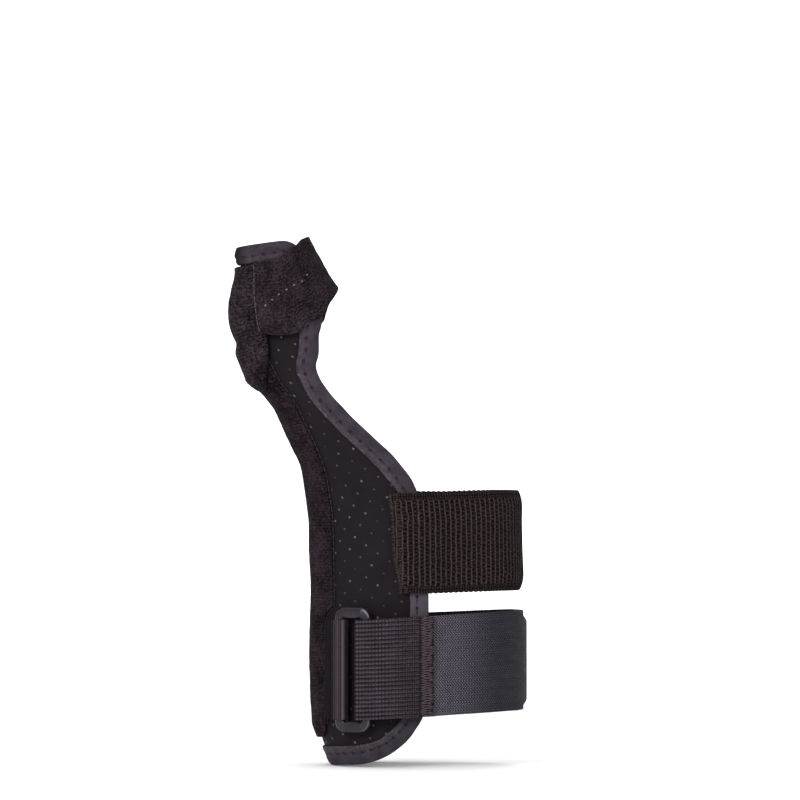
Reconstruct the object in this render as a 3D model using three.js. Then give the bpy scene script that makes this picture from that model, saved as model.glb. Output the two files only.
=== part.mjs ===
// Thumb spica splint for a right hand, in the form that it has when it is worn and fastened.
// A perforated laminate shell wraps the thumb side of the forearm, wrist and thumb like an open gutter,
// with a tape bound round its whole edge. A padded panel for the stay runs up the thumb side, a flap and
// a strap close round the thumb, an elastic strap closes the wrist, and a webbing strap with a hook tab
// runs through a plastic ring and closes the forearm.
// Millimetres. The origin is the centre of the wrist, +Z runs to the fingers, +X to the little finger's
// side and -Y to the back of the hand.
import * as THREE from "three";

// The limb that the splint fits, and the whole length of the shell along it.
const SPLINT_LENGTH = 196.1;
const WRIST_HEIGHT = 82.6;
const WRIST_BREADTH = 70.5;
const WRIST_DEPTH = 49;
const SECTION_EXPONENT = 2.25;

// Room between the limb and the shell, and between two layers of cloth.
const SKIN_ROOM = 1.2;
const LAYER_GAP = 0.4;

// The shell and its bound edge.
const SHELL_THICKNESS = 1.8;
const HEEL_RADIUS = 28;
const RIM_RADIUS = 9;
const BINDING_WIDTH = 6.2;
const BINDING_THICKNESS = 0.6;

// The padded panel over the stay. Below the notch, where the ring's tape comes out, it is narrower.
const PANEL_BOTTOM_MARGIN = 10.7;
const PANEL_UNDER_FLAP = 10.5;
const PANEL_EDGE_THICKNESS = 0.9;
const PANEL_PADDING = 2;
const PANEL_CORNER_RADIUS = 5;
const PANEL_END_RATIO = 0.6;
const NOTCH_DEGREES = 9;
const NOTCH_RAMP = 4.5;
const NOTCH_CLEARANCE = 0.7;

// The flap and the strap round the thumb. Turns are in degrees round the section from the thumb side.
const FLAP_THICKNESS = 2;
const FLAP_RIM_MARGIN = 6.6;
const FLAP_LENGTH = 42;
const FLAP_CORNER_DROP = 4;
const THUMB_STRAP_THICKNESS = 1.8;
const THUMB_STRAP_START_DEGREES = 57;
const THUMB_STRAP_SLANT_DEGREES = 7;
const THUMB_STRAP_END_DEGREES = 303;

// The elastic strap at the wrist.
const ELASTIC_WIDTH = 38;
const ELASTIC_THICKNESS = 1.8;
const ELASTIC_LEVEL = 0;
const ELASTIC_DORSAL_DEGREES = 78;
const ELASTIC_PALMAR_DEGREES = 80;
const ELASTIC_RISE = 0.8;
const ELASTIC_END_SLANT = 3.4;

// How a strap climbs on to the bound edge, and comes down to the skin beyond it.
const STRAP_CLIMB_LEAD = 7;
const STRAP_CLIMB = 3;
const STRAP_EDGE_ROOM = 0.5;
const STRAP_FALL = 10;
const STRAP_SKIN_ROOM = 0.6;

// The webbing strap at the forearm, its ring, the tape that holds the ring, and the hook tab.
const WEBBING_WIDTH = 38;
const WEBBING_THICKNESS = 1.6;
const WEBBING_FROM_HEEL = 34.6;
const WEBBING_PALMAR_OVERLAP = 12;
const WEBBING_RISE = 3.1;
const WEBBING_END_OVERLAP = 4.6;
const RING_DEGREES = 54.5;
const RING_WIDTH = 14.7;
const RING_BAR = 3.8;
const RING_END_BAR = 4.2;
const RING_THICKNESS = 3;
const RING_END_CLEARANCE = 0.4;
const RING_CORNER_RADIUS = 4;
const RING_SLOT_RADIUS = 0.8;
const RING_BEVEL = 0.6;
const RING_TAPE_THICKNESS = 0.6;
const RING_TAPE_WIDTH = 38;
const RING_TAPE_SEAM_ROOM = 0.7;
const TAB_THICKNESS = 1.2;
const TAB_LENGTH = 50;
const TAB_EDGE_SETBACK = 2.1;
const TAB_CORNER_LENGTH = 9;
const TAB_CORNER_WIDTH = 4;

// The limb, section by section. level is a share of SPLINT_LENGTH up from the lower edge. radial, crest
// and ulnar are shares of WRIST_BREADTH along X: the thumb side, the thickest place and the other side.
// depth is the half depth and lean the shift to the palm, as shares of WRIST_DEPTH. tilt is the section's
// slope. edge and seam are turns to the shell's edge and to the panel's.
const SECTION_COLUMNS = ["level", "radial", "crest", "ulnar", "depth", "lean", "tilt", "edge", "seam"];
const SECTIONS = [
  [0.000, -0.430, 0.000, 0.515, 0.485, 0.000, 0.000, 93, 33],
  [0.025, -0.460, 0.000, 0.530, 0.494, 0.000, 0.000, 93.3, 33.5],
  [0.065, -0.490, 0.000, 0.540, 0.500, 0.000, 0.000, 93.3, 34],
  [0.295, -0.500, 0.000, 0.542, 0.500, 0.000, 0.000, 93.3, 35],
  [0.461, -0.503, 0.000, 0.531, 0.500, 0.000, 0.000, 92, 34],
  [0.532, -0.525, -0.030, 0.535, 0.494, 0.000, 0.000, 89.6, 33.5],
  [0.577, -0.549, -0.085, 0.540, 0.480, 0.010, 0.000, 86.5, 33.5],
  [0.622, -0.607, -0.185, 0.535, 0.450, 0.025, 0.000, 82.6, 37],
  [0.668, -0.670, -0.310, 0.480, 0.413, 0.042, 0.010, 80.2, 40.5],
  [0.693, -0.708, -0.383, 0.420, 0.390, 0.055, 0.020, 80.2, 44],
  [0.723, -0.772, -0.468, 0.300, 0.358, 0.068, 0.035, 82.6, 48],
  [0.748, -0.830, -0.530, 0.170, 0.333, 0.078, 0.050, 86.2, 49],
  [0.773, -0.857, -0.582, 0.000, 0.310, 0.086, 0.060, 91.2, 49],
  [0.819, -0.905, -0.645, -0.280, 0.278, 0.098, 0.080, 101.8, 49],
  [0.864, -0.943, -0.695, -0.460, 0.252, 0.108, 0.095, 124, 49],
  [0.909, -0.937, -0.735, -0.545, 0.228, 0.118, 0.105, 131, 49],
  [0.955, -0.919, -0.760, -0.605, 0.210, 0.126, 0.115, 138, 49],
  [1.000, -0.935, -0.790, -0.655, 0.196, 0.132, 0.120, 143, 49],
].map((row) => Object.fromEntries(row.map((value, i) => [SECTION_COLUMNS[i], value])));

// The panel's padding along its length: at is a share of that length, padding a share of PANEL_PADDING.
const PANEL_PADS = [
  { at: 0.0, padding: 0.85 },
  { at: 0.1, padding: 1.0 },
  { at: 0.2, padding: 1.15 },
  { at: 0.37, padding: 0.72 },
  { at: 0.5, padding: 1.02 },
  { at: 0.6, padding: 1.12 },
  { at: 0.78, padding: 1.0 },
  { at: 0.88, padding: 0.5 },
  { at: 1.0, padding: 0.2 },
];

// The flap's two side edges: at is a share of FLAP_LENGTH.
const FLAP_EDGE = [
  { at: 0.0, turn: 33 },
  { at: 0.1, turn: 43 },
  { at: 0.2, turn: 51 },
  { at: 0.3, turn: 57 },
  { at: 0.45, turn: 62 },
  { at: 0.6, turn: 70 },
  { at: 1.0, turn: 74 },
];

// The thumb strap's two edges as it goes round: lower and upper are shares of SPLINT_LENGTH.
const THUMB_STRAP_EDGES = [
  { turn: 57, lower: 0.832, upper: 0.967 },
  { turn: 75, lower: 0.822, upper: 0.968 },
  { turn: 92, lower: 0.831, upper: 0.971 },
  { turn: 106, lower: 0.837, upper: 0.979 },
  { turn: 113, lower: 0.835, upper: 0.983 },
  { turn: 125, lower: 0.853, upper: 0.989 },
  { turn: 140, lower: 0.87, upper: 0.996 },
  { turn: 180, lower: 0.889, upper: 0.998 },
  { turn: 220, lower: 0.87, upper: 0.994 },
  { turn: 235, lower: 0.853, upper: 0.989 },
  { turn: 247, lower: 0.838, upper: 0.983 },
  { turn: 268, lower: 0.831, upper: 0.973 },
  { turn: 303, lower: 0.822, upper: 0.966 },
];

// Heights above the skin at which the layers lie.
const SHELL_TOP = SKIN_ROOM + SHELL_THICKNESS;
const ON_SHELL = SHELL_TOP + LAYER_GAP;
const BINDING_TOP = ON_SHELL + BINDING_THICKNESS;
const ON_BINDING = BINDING_TOP + LAYER_GAP;
const SHELL_BOTTOM_LEVEL = -WRIST_HEIGHT;
const SHELL_TOP_LEVEL = SPLINT_LENGTH - WRIST_HEIGHT;
const WEBBING_LEVEL = SHELL_BOTTOM_LEVEL + WEBBING_FROM_HEEL;
const PANEL_BOTTOM_LEVEL = SHELL_BOTTOM_LEVEL + PANEL_BOTTOM_MARGIN;
const FLAP_BOTTOM_LEVEL = SHELL_TOP_LEVEL - FLAP_RIM_MARGIN - FLAP_LENGTH;
const PANEL_LENGTH = FLAP_BOTTOM_LEVEL + PANEL_UNDER_FLAP - PANEL_BOTTOM_LEVEL;
const NOTCH_LEVEL = WEBBING_LEVEL + RING_TAPE_WIDTH / 2 + NOTCH_CLEARANCE;

const blend = (a, b, share) => a + (b - a) * share;
const clamp01 = (value) => Math.min(1, Math.max(0, value));
const ease = (value) => clamp01(value) ** 2 * (3 - 2 * clamp01(value));

// A smooth curve through one column of a table. It never overshoots the rows and runs on straight
// past the first and last.
function columnCurve(rows, key, name) {
  const x = rows.map((row) => row[key]);
  const y = rows.map((row) => row[name]);
  const slope = x.slice(1).map((value, i) => (y[i + 1] - y[i]) / (value - x[i]));
  const tangent = x.map((_, i) => {
    if (i === 0) return slope[0];
    if (i === x.length - 1) return slope[i - 1];
    if (slope[i - 1] * slope[i] <= 0) return 0;
    return (2 * slope[i - 1] * slope[i]) / (slope[i - 1] + slope[i]);
  });
  return (at) => {
    const value = Math.min(x[x.length - 1], Math.max(x[0], at));
    const beyond = (at - value) * tangent[at < value ? 0 : x.length - 1];
    let i = 0;
    while (i < x.length - 2 && value > x[i + 1]) i += 1;
    const span = x[i + 1] - x[i];
    const t = (value - x[i]) / span;
    const rise = 3 * t ** 2 - 2 * t ** 3;
    const lead = t - 2 * t ** 2 + t ** 3;
    const trail = t ** 3 - t ** 2;
    return blend(y[i], y[i + 1], rise) + span * (lead * tangent[i] + trail * tangent[i + 1]) + beyond;
  };
}

const limb = {};
for (const name of SECTION_COLUMNS.slice(1)) limb[name] = columnCurve(SECTIONS, "level", name);
const levelShare = (level) => (level - SHELL_BOTTOM_LEVEL) / SPLINT_LENGTH;
const edgeTurn = (level) => limb.edge(levelShare(level));

// The turn to the panel's edge, which steps back below the notch.
function seamTurn(level) {
  const notch = 1 - ease((level - NOTCH_LEVEL) / NOTCH_RAMP);
  return limb.seam(levelShare(level)) - NOTCH_DEGREES * notch;
}

// A point of the limb's skin. turn goes from 0 at the thumb side over the back of the hand.
function skinPoint(turn, level) {
  const share = levelShare(level);
  const angle = THREE.MathUtils.degToRad(turn);
  const power = 2 / SECTION_EXPONENT;
  const along = Math.sign(Math.cos(angle)) * Math.abs(Math.cos(angle)) ** power;
  const across = Math.sign(Math.sin(angle)) * Math.abs(Math.sin(angle)) ** power;
  const crest = limb.crest(share) * WRIST_BREADTH;
  const side = (along > 0 ? limb.radial(share) : limb.ulnar(share)) * WRIST_BREADTH;
  const x = crest + Math.abs(along) * (side - crest);
  const y = (limb.lean(share) - across * limb.depth(share)) * WRIST_DEPTH;
  return new THREE.Vector3(x, y, level + limb.tilt(share) * (x - crest));
}

// A point at a height above the skin.
function above(turn, level, height) {
  const turnStep = 0.6;
  const levelStep = 0.002 * SPLINT_LENGTH;
  const round = skinPoint(turn + turnStep, level).sub(skinPoint(turn - turnStep, level));
  const up = skinPoint(turn, level + levelStep).sub(skinPoint(turn, level - levelStep));
  const outward = round.cross(up).normalize();
  return skinPoint(turn, level).addScaledVector(outward, height);
}

// Lengths round a section, measured on the shell's outer face from the thumb side.
const sectionLengths = new Map();
function lengthsAt(level) {
  const key = level.toFixed(3);
  if (!sectionLengths.has(key)) {
    const turns = Array.from({ length: 61 }, (_, i) => i * 3);
    const lengths = [0];
    let last = above(0, level, SHELL_TOP);
    for (const turn of turns.slice(1)) {
      const next = above(turn, level, SHELL_TOP);
      lengths.push(lengths[lengths.length - 1] + next.distanceTo(last));
      last = next;
    }
    sectionLengths.set(key, { turns, lengths });
  }
  return sectionLengths.get(key);
}

function lookUp(from, to, value) {
  let i = 1;
  while (i < from.length - 1 && from[i] < value) i += 1;
  return blend(to[i - 1], to[i], (value - from[i - 1]) / (from[i] - from[i - 1]));
}

function lengthOf(turn, level) {
  const { turns, lengths } = lengthsAt(level);
  return Math.sign(turn) * lookUp(turns, lengths, Math.abs(turn));
}

function turnOf(length, level) {
  const { turns, lengths } = lengthsAt(level);
  const half = lengths[lengths.length - 1];
  const side = Math.sign(length);
  if (Math.abs(length) > half) return side * (360 - lookUp(lengths, turns, 2 * half - Math.abs(length)));
  return side * lookUp(lengths, turns, Math.abs(length));
}

// A point of the cloth's flat pattern, laid on the limb at a height above the skin.
const lay = (length, level, height) => above(turnOf(length, level), level, height);

// Builds a closed body from a grid of points on two faces. place(i, j, side) gives the point of
// column i and row j on the outer face, side 1, or on the inner face, side 0.
function slab(columns, rows, place) {
  const positions = [];
  const indices = [];
  const wide = rows + 1;
  const perSide = (columns + 1) * wide;
  for (const side of [0, 1]) {
    for (let i = 0; i <= columns; i += 1) {
      for (let j = 0; j <= rows; j += 1) positions.push(...place(i, j, side).toArray());
    }
  }
  const quad = (a, b, c, d) => indices.push(a, b, c, a, c, d);
  const index = (i, j, side) => side * perSide + i * wide + j;
  for (let i = 0; i < columns; i += 1) {
    for (let j = 0; j < rows; j += 1) {
      quad(index(i, j, 1), index(i + 1, j, 1), index(i + 1, j + 1, 1), index(i, j + 1, 1));
      quad(index(i, j, 0), index(i, j + 1, 0), index(i + 1, j + 1, 0), index(i + 1, j, 0));
    }
    quad(index(i, 0, 0), index(i + 1, 0, 0), index(i + 1, 0, 1), index(i, 0, 1));
    quad(index(i, rows, 0), index(i, rows, 1), index(i + 1, rows, 1), index(i + 1, rows, 0));
  }
  for (let j = 0; j < rows; j += 1) {
    quad(index(0, j, 0), index(0, j, 1), index(0, j + 1, 1), index(0, j + 1, 0));
    quad(index(columns, j, 0), index(columns, j + 1, 0), index(columns, j + 1, 1), index(columns, j, 1));
  }
  const geometry = new THREE.BufferGeometry();
  geometry.setAttribute("position", new THREE.Float32BufferAttribute(positions, 3));
  geometry.setIndex(indices);
  return geometry;
}

// Builds a closed ring from profiles of equal length, the last joined to the first.
function loopOf(profiles) {
  const size = profiles[0].length;
  const indices = [];
  profiles.forEach((_, i) => {
    const next = (i + 1) % profiles.length;
    for (let j = 0; j < size; j += 1) {
      const k = (j + 1) % size;
      indices.push(i * size + j, next * size + k, next * size + j);
      indices.push(i * size + j, i * size + k, next * size + k);
    }
  });
  const geometry = new THREE.BufferGeometry();
  const positions = profiles.flat().flatMap((point) => point.toArray());
  geometry.setAttribute("position", new THREE.Float32BufferAttribute(positions, 3));
  geometry.setIndex(indices);
  return geometry;
}

function material(name, colour, roughness, metalness = 0) {
  return new THREE.MeshStandardMaterial({ name, color: colour, roughness, metalness });
}

const laminate = material("laminate", 0x24212a, 0.75);
const bindingTape = material("binding", 0x48424a, 0.85);
const pile = material("pile", 0x2b252a, 0.95);
const elastic = material("elastic", 0x272222, 0.9);
const webbing = material("webbing", 0x38323a, 0.8);
const twill = material("twill", 0x484650, 0.8);
const plastic = material("plastic", 0x3c393f, 0.35);

function named(name, geometry, finish) {
  const mesh = new THREE.Mesh(geometry, finish);
  mesh.name = name;
  return mesh;
}

// The levels of the shell's rows: close together at the rounded corners of its outline.
function shellLevels() {
  const heelSteps = 6;
  const bodySteps = 22;
  const rimSteps = 4;
  const heel = Array.from({ length: heelSteps }, (_, i) => (i / heelSteps) * (Math.PI / 2));
  const rim = Array.from({ length: rimSteps + 1 }, (_, i) => (1 - i / rimSteps) * (Math.PI / 2));
  const bodyLow = SHELL_BOTTOM_LEVEL + HEEL_RADIUS;
  const bodyHigh = SHELL_TOP_LEVEL - RIM_RADIUS;
  return [
    ...heel.map((angle) => SHELL_BOTTOM_LEVEL + HEEL_RADIUS * (1 - Math.cos(angle))),
    ...Array.from({ length: bodySteps }, (_, i) => blend(bodyLow, bodyHigh, i / bodySteps)),
    ...rim.map((angle) => SHELL_TOP_LEVEL - RIM_RADIUS * (1 - Math.cos(angle))),
  ];
}

// How much a rounded corner takes off the outline's half width, at a distance from the corner's end.
const cornerCut = (radius, distance) =>
  distance < radius ? radius - Math.sqrt(Math.max(0, radius ** 2 - (radius - distance) ** 2)) : 0;

// Half the shell's width at a level, measured round the section.
function shellHalfWidth(level) {
  const heelCut = cornerCut(HEEL_RADIUS, level - SHELL_BOTTOM_LEVEL);
  const rimCut = cornerCut(RIM_RADIUS, SHELL_TOP_LEVEL - level);
  return lengthOf(edgeTurn(level), level) - heelCut - rimCut;
}

const SHELL_COLUMNS = 28;

function makeShell() {
  const levels = shellLevels();
  const place = (i, j, side) => {
    const length = shellHalfWidth(levels[j]) * ((2 * i) / SHELL_COLUMNS - 1);
    return lay(length, levels[j], side ? SHELL_TOP : SKIN_ROOM);
  };
  return named("shell", slab(SHELL_COLUMNS, levels.length - 1, place), laminate);
}

// The shell's outline on the flat pattern, once round.
function shellOutline() {
  const levels = shellLevels();
  const bottom = levels[0];
  const top = levels[levels.length - 1];
  const across = Array.from({ length: SHELL_COLUMNS - 1 }, (_, i) => (2 * (i + 1)) / SHELL_COLUMNS - 1);
  return [
    ...across.map((share) => [share * shellHalfWidth(bottom), bottom]),
    ...levels.map((level) => [shellHalfWidth(level), level]),
    ...across.map((share) => [-share * shellHalfWidth(top), top]),
    ...[...levels].reverse().map((level) => [-shellHalfWidth(level), level]),
  ].map(([length, level]) => new THREE.Vector2(length, level));
}

// The tape folded over the shell's edge, as one closed loop.
function makeBinding() {
  const outline = shellOutline();
  const overhang = LAYER_GAP + BINDING_THICKNESS;
  const fold = [
    [BINDING_WIDTH, ON_SHELL],
    [BINDING_WIDTH, BINDING_TOP],
    [BINDING_WIDTH / 2, BINDING_TOP],
    [-overhang / 2, BINDING_TOP],
    [-overhang, SHELL_TOP],
    [-overhang, SKIN_ROOM],
    [-overhang / 2, SKIN_ROOM - overhang],
    [BINDING_WIDTH / 2, SKIN_ROOM - overhang],
    [BINDING_WIDTH, SKIN_ROOM - overhang],
    [BINDING_WIDTH, SKIN_ROOM - LAYER_GAP],
    [-LAYER_GAP, SKIN_ROOM - LAYER_GAP],
    [-LAYER_GAP, ON_SHELL],
    [BINDING_WIDTH / 2, ON_SHELL],
  ];
  const profiles = outline.map((point, i) => {
    const before = outline[(i + outline.length - 1) % outline.length];
    const after = outline[(i + 1) % outline.length];
    const back = point.clone().sub(before).normalize();
    const along = after.clone().sub(point).normalize().add(back).normalize();
    const inward = new THREE.Vector2(-along.y, along.x);
    return fold.map(([depth, height]) => lay(point.x + inward.x * depth, point.y + inward.y * depth, height));
  });
  return named("edge_binding", loopOf(profiles), bindingTape);
}

const panelPads = columnCurve(PANEL_PADS, "at", "padding");

// How thick the panel is at a turn and a level. It is crowned in the middle and thin at its seams.
function panelThickness(turn, level) {
  const share = clamp01((level - PANEL_BOTTOM_LEVEL) / PANEL_LENGTH);
  const across = clamp01(Math.abs(turn) / seamTurn(level));
  return PANEL_EDGE_THICKNESS + PANEL_PADDING * panelPads(share) * (1 - across ** 2) ** 0.8;
}

function makePanel() {
  const columns = 10;
  const [lowRows, highRows] = [7, 14];
  const notchTop = NOTCH_LEVEL + NOTCH_RAMP;
  const top = PANEL_BOTTOM_LEVEL + PANEL_LENGTH;
  const levels = [
    ...Array.from({ length: lowRows + 1 }, (_, i) => blend(PANEL_BOTTOM_LEVEL, NOTCH_LEVEL, i / lowRows)),
    ...Array.from({ length: highRows + 1 }, (_, i) => blend(notchTop, top, i / highRows)),
  ];
  const place = (i, j, side) => {
    const level = levels[j];
    const across = (2 * i) / columns - 1;
    const fromEnd = level - PANEL_BOTTOM_LEVEL;
    const half = lengthOf(seamTurn(level), level) - cornerCut(PANEL_CORNER_RADIUS, fromEnd);
    const thinning = blend(PANEL_END_RATIO, 1, ease(fromEnd / PANEL_CORNER_RADIUS));
    const thickness = panelThickness(across * seamTurn(level), level) * thinning;
    return lay(half * across, level, ON_SHELL + side * thickness);
  };
  return named("radial_panel", slab(columns, levels.length - 1, place), pile);
}

// The height at which the thumb flap lies: on the panel, and beside and past it on the shell.
function flapBase(turn, level) {
  const settleTurn = 14;
  const clearTurn = 3;
  const beside = ease((Math.abs(turn) - seamTurn(level) - clearTurn) / settleTurn);
  const past = ease((level - PANEL_BOTTOM_LEVEL - PANEL_LENGTH) / PANEL_CORNER_RADIUS);
  const panel = panelThickness(turn, level) + LAYER_GAP;
  return ON_SHELL + panel * (1 - beside) * (1 - past);
}

const flapEdge = columnCurve(FLAP_EDGE, "at", "turn");

function makeFlap() {
  const columns = 18;
  const rows = 9;
  const place = (i, j, side) => {
    const share = j / rows;
    const level = FLAP_BOTTOM_LEVEL + FLAP_LENGTH * share;
    const turn = flapEdge(share) * ((2 * i) / columns - 1);
    const drop = FLAP_CORNER_DROP * (1 - share) * ease(Math.abs(turn) / flapEdge(0.1));
    return above(turn, level - drop, flapBase(turn, level - drop) + side * FLAP_THICKNESS);
  };
  return named("thumb_flap", slab(columns, rows, place), pile);
}

const strapLower = columnCurve(THUMB_STRAP_EDGES, "turn", "lower");
const strapUpper = columnCurve(THUMB_STRAP_EDGES, "turn", "upper");

// The height of the thumb strap: over the flap at both ends, and over the bound edges between.
function thumbStrapBase(turn) {
  const stepTurn = 9;
  const clearTurn = 1;
  const overFlap = ON_SHELL + FLAP_THICKNESS + LAYER_GAP;
  const leavesFlap = ease((turn - flapEdge(1) - clearTurn) / stepTurn);
  const meetsFlap = ease((360 - flapEdge(1) - clearTurn - turn) / stepTurn);
  return blend(overFlap, ON_BINDING, Math.min(leavesFlap, meetsFlap));
}

function makeThumbStrap() {
  const columns = 36;
  const rows = 5;
  const place = (i, j, side) => {
    const start = THUMB_STRAP_START_DEGREES + THUMB_STRAP_SLANT_DEGREES * (j / rows);
    const turn = blend(start, THUMB_STRAP_END_DEGREES, i / columns);
    const share = blend(strapLower(turn), strapUpper(turn), j / rows);
    const level = SHELL_BOTTOM_LEVEL + share * SPLINT_LENGTH;
    return above(turn, level, thumbStrapBase(turn) + side * THUMB_STRAP_THICKNESS);
  };
  return named("thumb_strap", slab(columns, rows, place), pile);
}

// The height at which a strap lies at a length round the section: on the shell, over the bound edge,
// and close to the skin beyond it. Lengths past half the girth come back along the palm.
function strapBase(length, level) {
  const { lengths } = lengthsAt(level);
  const half = lengths[lengths.length - 1];
  const folded = length > half ? 2 * half - length : length;
  const pastEdge = folded - lengthOf(edgeTurn(level), level);
  const climb = ease((pastEdge + BINDING_WIDTH + STRAP_CLIMB_LEAD) / STRAP_CLIMB);
  const fall = ease((pastEdge - LAYER_GAP - BINDING_THICKNESS - STRAP_EDGE_ROOM) / STRAP_FALL);
  return blend(blend(ON_SHELL, ON_BINDING, climb), STRAP_SKIN_ROOM, fall);
}

// A strap's rise to the little finger's side. The elastic's starts over the limb's middle.
const elasticRise = (x) => ELASTIC_RISE * ease(x / (WRIST_BREADTH / 2));

function makeElastic() {
  const columns = 36;
  const rows = 4;
  const place = (i, j, side) => {
    const level = ELASTIC_LEVEL + ELASTIC_WIDTH * (j / rows - 0.5);
    const { lengths } = lengthsAt(level);
    const girth = 2 * lengths[lengths.length - 1];
    const start = lengthOf(ELASTIC_DORSAL_DEGREES, level) + ELASTIC_END_SLANT * (1 - j / rows);
    const end = girth - lengthOf(ELASTIC_PALMAR_DEGREES, level);
    const length = blend(start, end, i / columns);
    const point = lay(length, level, strapBase(length, level) + side * ELASTIC_THICKNESS);
    point.z += elasticRise(point.x);
    return point;
  };
  return named("wrist_strap", slab(columns, rows, place), elastic);
}

// The ring lies flat on the webbing's lower layer. Points near it are given along the ring, u, and
// out from its underside, w.
const RING_BASE = ON_SHELL + WEBBING_THICKNESS + LAYER_GAP;
const ringOrigin = above(RING_DEGREES, WEBBING_LEVEL, RING_BASE);
const ringOut = above(RING_DEGREES, WEBBING_LEVEL, RING_BASE * 2).sub(ringOrigin).setZ(0).normalize();
const ringAlong = new THREE.Vector3(-ringOut.y, ringOut.x, 0);
const nearRing = (u, w) =>
  new THREE.Vector2(
    ringOrigin.x + ringAlong.x * u + ringOut.x * w,
    ringOrigin.y + ringAlong.y * u + ringOut.y * w,
  );

// The webbing's rise starts at the ring.
const webbingRise = (x) =>
  WEBBING_RISE * clamp01((x - ringOrigin.x) / (WRIST_BREADTH / 2 - ringOrigin.x));

function roundedRectangle(path, halfWidth, halfLength, radius) {
  const corners = [
    [halfWidth - radius, -halfLength + radius, -Math.PI / 2],
    [halfWidth - radius, halfLength - radius, 0],
    [-halfWidth + radius, halfLength - radius, Math.PI / 2],
    [-halfWidth + radius, -halfLength + radius, Math.PI],
  ];
  for (const [x, y, start] of corners) path.absarc(x, y, radius, start, start + Math.PI / 2, false);
  path.closePath();
  return path;
}

function makeRing() {
  const halfSlot = WEBBING_WIDTH / 2 + RING_END_CLEARANCE;
  const halfLength = halfSlot + RING_END_BAR;
  const halfGap = RING_WIDTH / 2 - RING_BAR;
  const outline = roundedRectangle(new THREE.Shape(), RING_WIDTH / 2, halfLength, RING_CORNER_RADIUS);
  outline.holes.push(roundedRectangle(new THREE.Path(), halfGap, halfSlot, RING_SLOT_RADIUS));
  const geometry = new THREE.ExtrudeGeometry(outline, {
    depth: RING_THICKNESS - 2 * RING_BEVEL,
    bevelThickness: RING_BEVEL,
    bevelSize: RING_BEVEL,
    bevelOffset: -RING_BEVEL,
    bevelSegments: 1,
    curveSegments: 4,
  });
  const mesh = named("strap_ring", geometry, plastic);
  const up = new THREE.Vector3(0, 0, 1);
  mesh.quaternion.setFromRotationMatrix(new THREE.Matrix4().makeBasis(ringAlong, up, ringOut));
  mesh.position.copy(ringOrigin).addScaledVector(ringOut, RING_BEVEL);
  return mesh;
}

// A strip of even thickness that follows a path across the forearm. rise gives its rise at each x.
function ribbon(path, thickness, width, level, rise) {
  const sides = path.map((point, i) => {
    const before = path[Math.max(0, i - 1)];
    const after = path[Math.min(path.length - 1, i + 1)];
    const along = after.clone().sub(before).normalize();
    return new THREE.Vector2(-along.y, along.x);
  });
  const place = (i, j, side) => {
    const shift = thickness * (0.5 - side);
    const x = path[i].x + sides[i].x * shift;
    const y = path[i].y + sides[i].y * shift;
    return new THREE.Vector3(x, y, level + width * (j - 0.5) + rise(path[i].x));
  };
  return slab(path.length - 1, 1, place);
}

const flatPoint = (point) => new THREE.Vector2(point.x, point.y);

// Part of a fold round a bar: points on a circle about a corner of the bar.
function foldRound(u, w, radius, from, to, steps) {
  return Array.from({ length: steps + 1 }, (_, i) => {
    const angle = THREE.MathUtils.degToRad(blend(from, to, i / steps));
    return nearRing(u + radius * Math.cos(angle), w + radius * Math.sin(angle));
  });
}

// The short tape that holds the ring: sewn down beside the panel and folded round the ring's bar.
function makeRingTape() {
  const half = RING_TAPE_THICKNESS / 2;
  const radius = LAYER_GAP + half;
  const inner = -RING_WIDTH / 2 + RING_BAR;
  const outer = -RING_WIDTH / 2;
  const seamLength = lengthOf(seamTurn(WEBBING_LEVEL), WEBBING_LEVEL) + RING_TAPE_SEAM_ROOM;
  const seam = turnOf(seamLength, WEBBING_LEVEL);
  const barLength = lengthOf(RING_DEGREES, WEBBING_LEVEL) - RING_WIDTH / 2 - radius - half;
  const barTurn = turnOf(barLength, WEBBING_LEVEL);
  const layer = (height) =>
    [0, 1, 2, 3].map((step) => flatPoint(above(blend(seam, barTurn, step / 3), WEBBING_LEVEL, height)));
  const path = [
    ...layer(ON_SHELL + half),
    ...foldRound(inner, 0, radius, -90, 0, 3),
    ...foldRound(inner, RING_THICKNESS, radius, 0, 90, 3),
    ...foldRound(outer, RING_THICKNESS, radius, 90, 150, 2),
    ...layer(ON_SHELL + half + RING_TAPE_THICKNESS + LAYER_GAP).reverse(),
  ];
  const strip = ribbon(path, RING_TAPE_THICKNESS, RING_TAPE_WIDTH, WEBBING_LEVEL, () => 0);
  return named("ring_tape", strip, webbing);
}

// Lengths round the forearm at the webbing, from the thumb side.
const forearmLengths = lengthsAt(WEBBING_LEVEL).lengths;
const forearmGirth = 2 * forearmLengths[forearmLengths.length - 1];
const forearmEdge = lengthOf(edgeTurn(WEBBING_LEVEL), WEBBING_LEVEL);
const tabStart = forearmEdge - TAB_EDGE_SETBACK;

// The height of the hook tab's inner face, which lies on the webbing's lower layer.
const tabBase = (length) => strapBase(length, WEBBING_LEVEL) + WEBBING_THICKNESS + LAYER_GAP;

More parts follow.
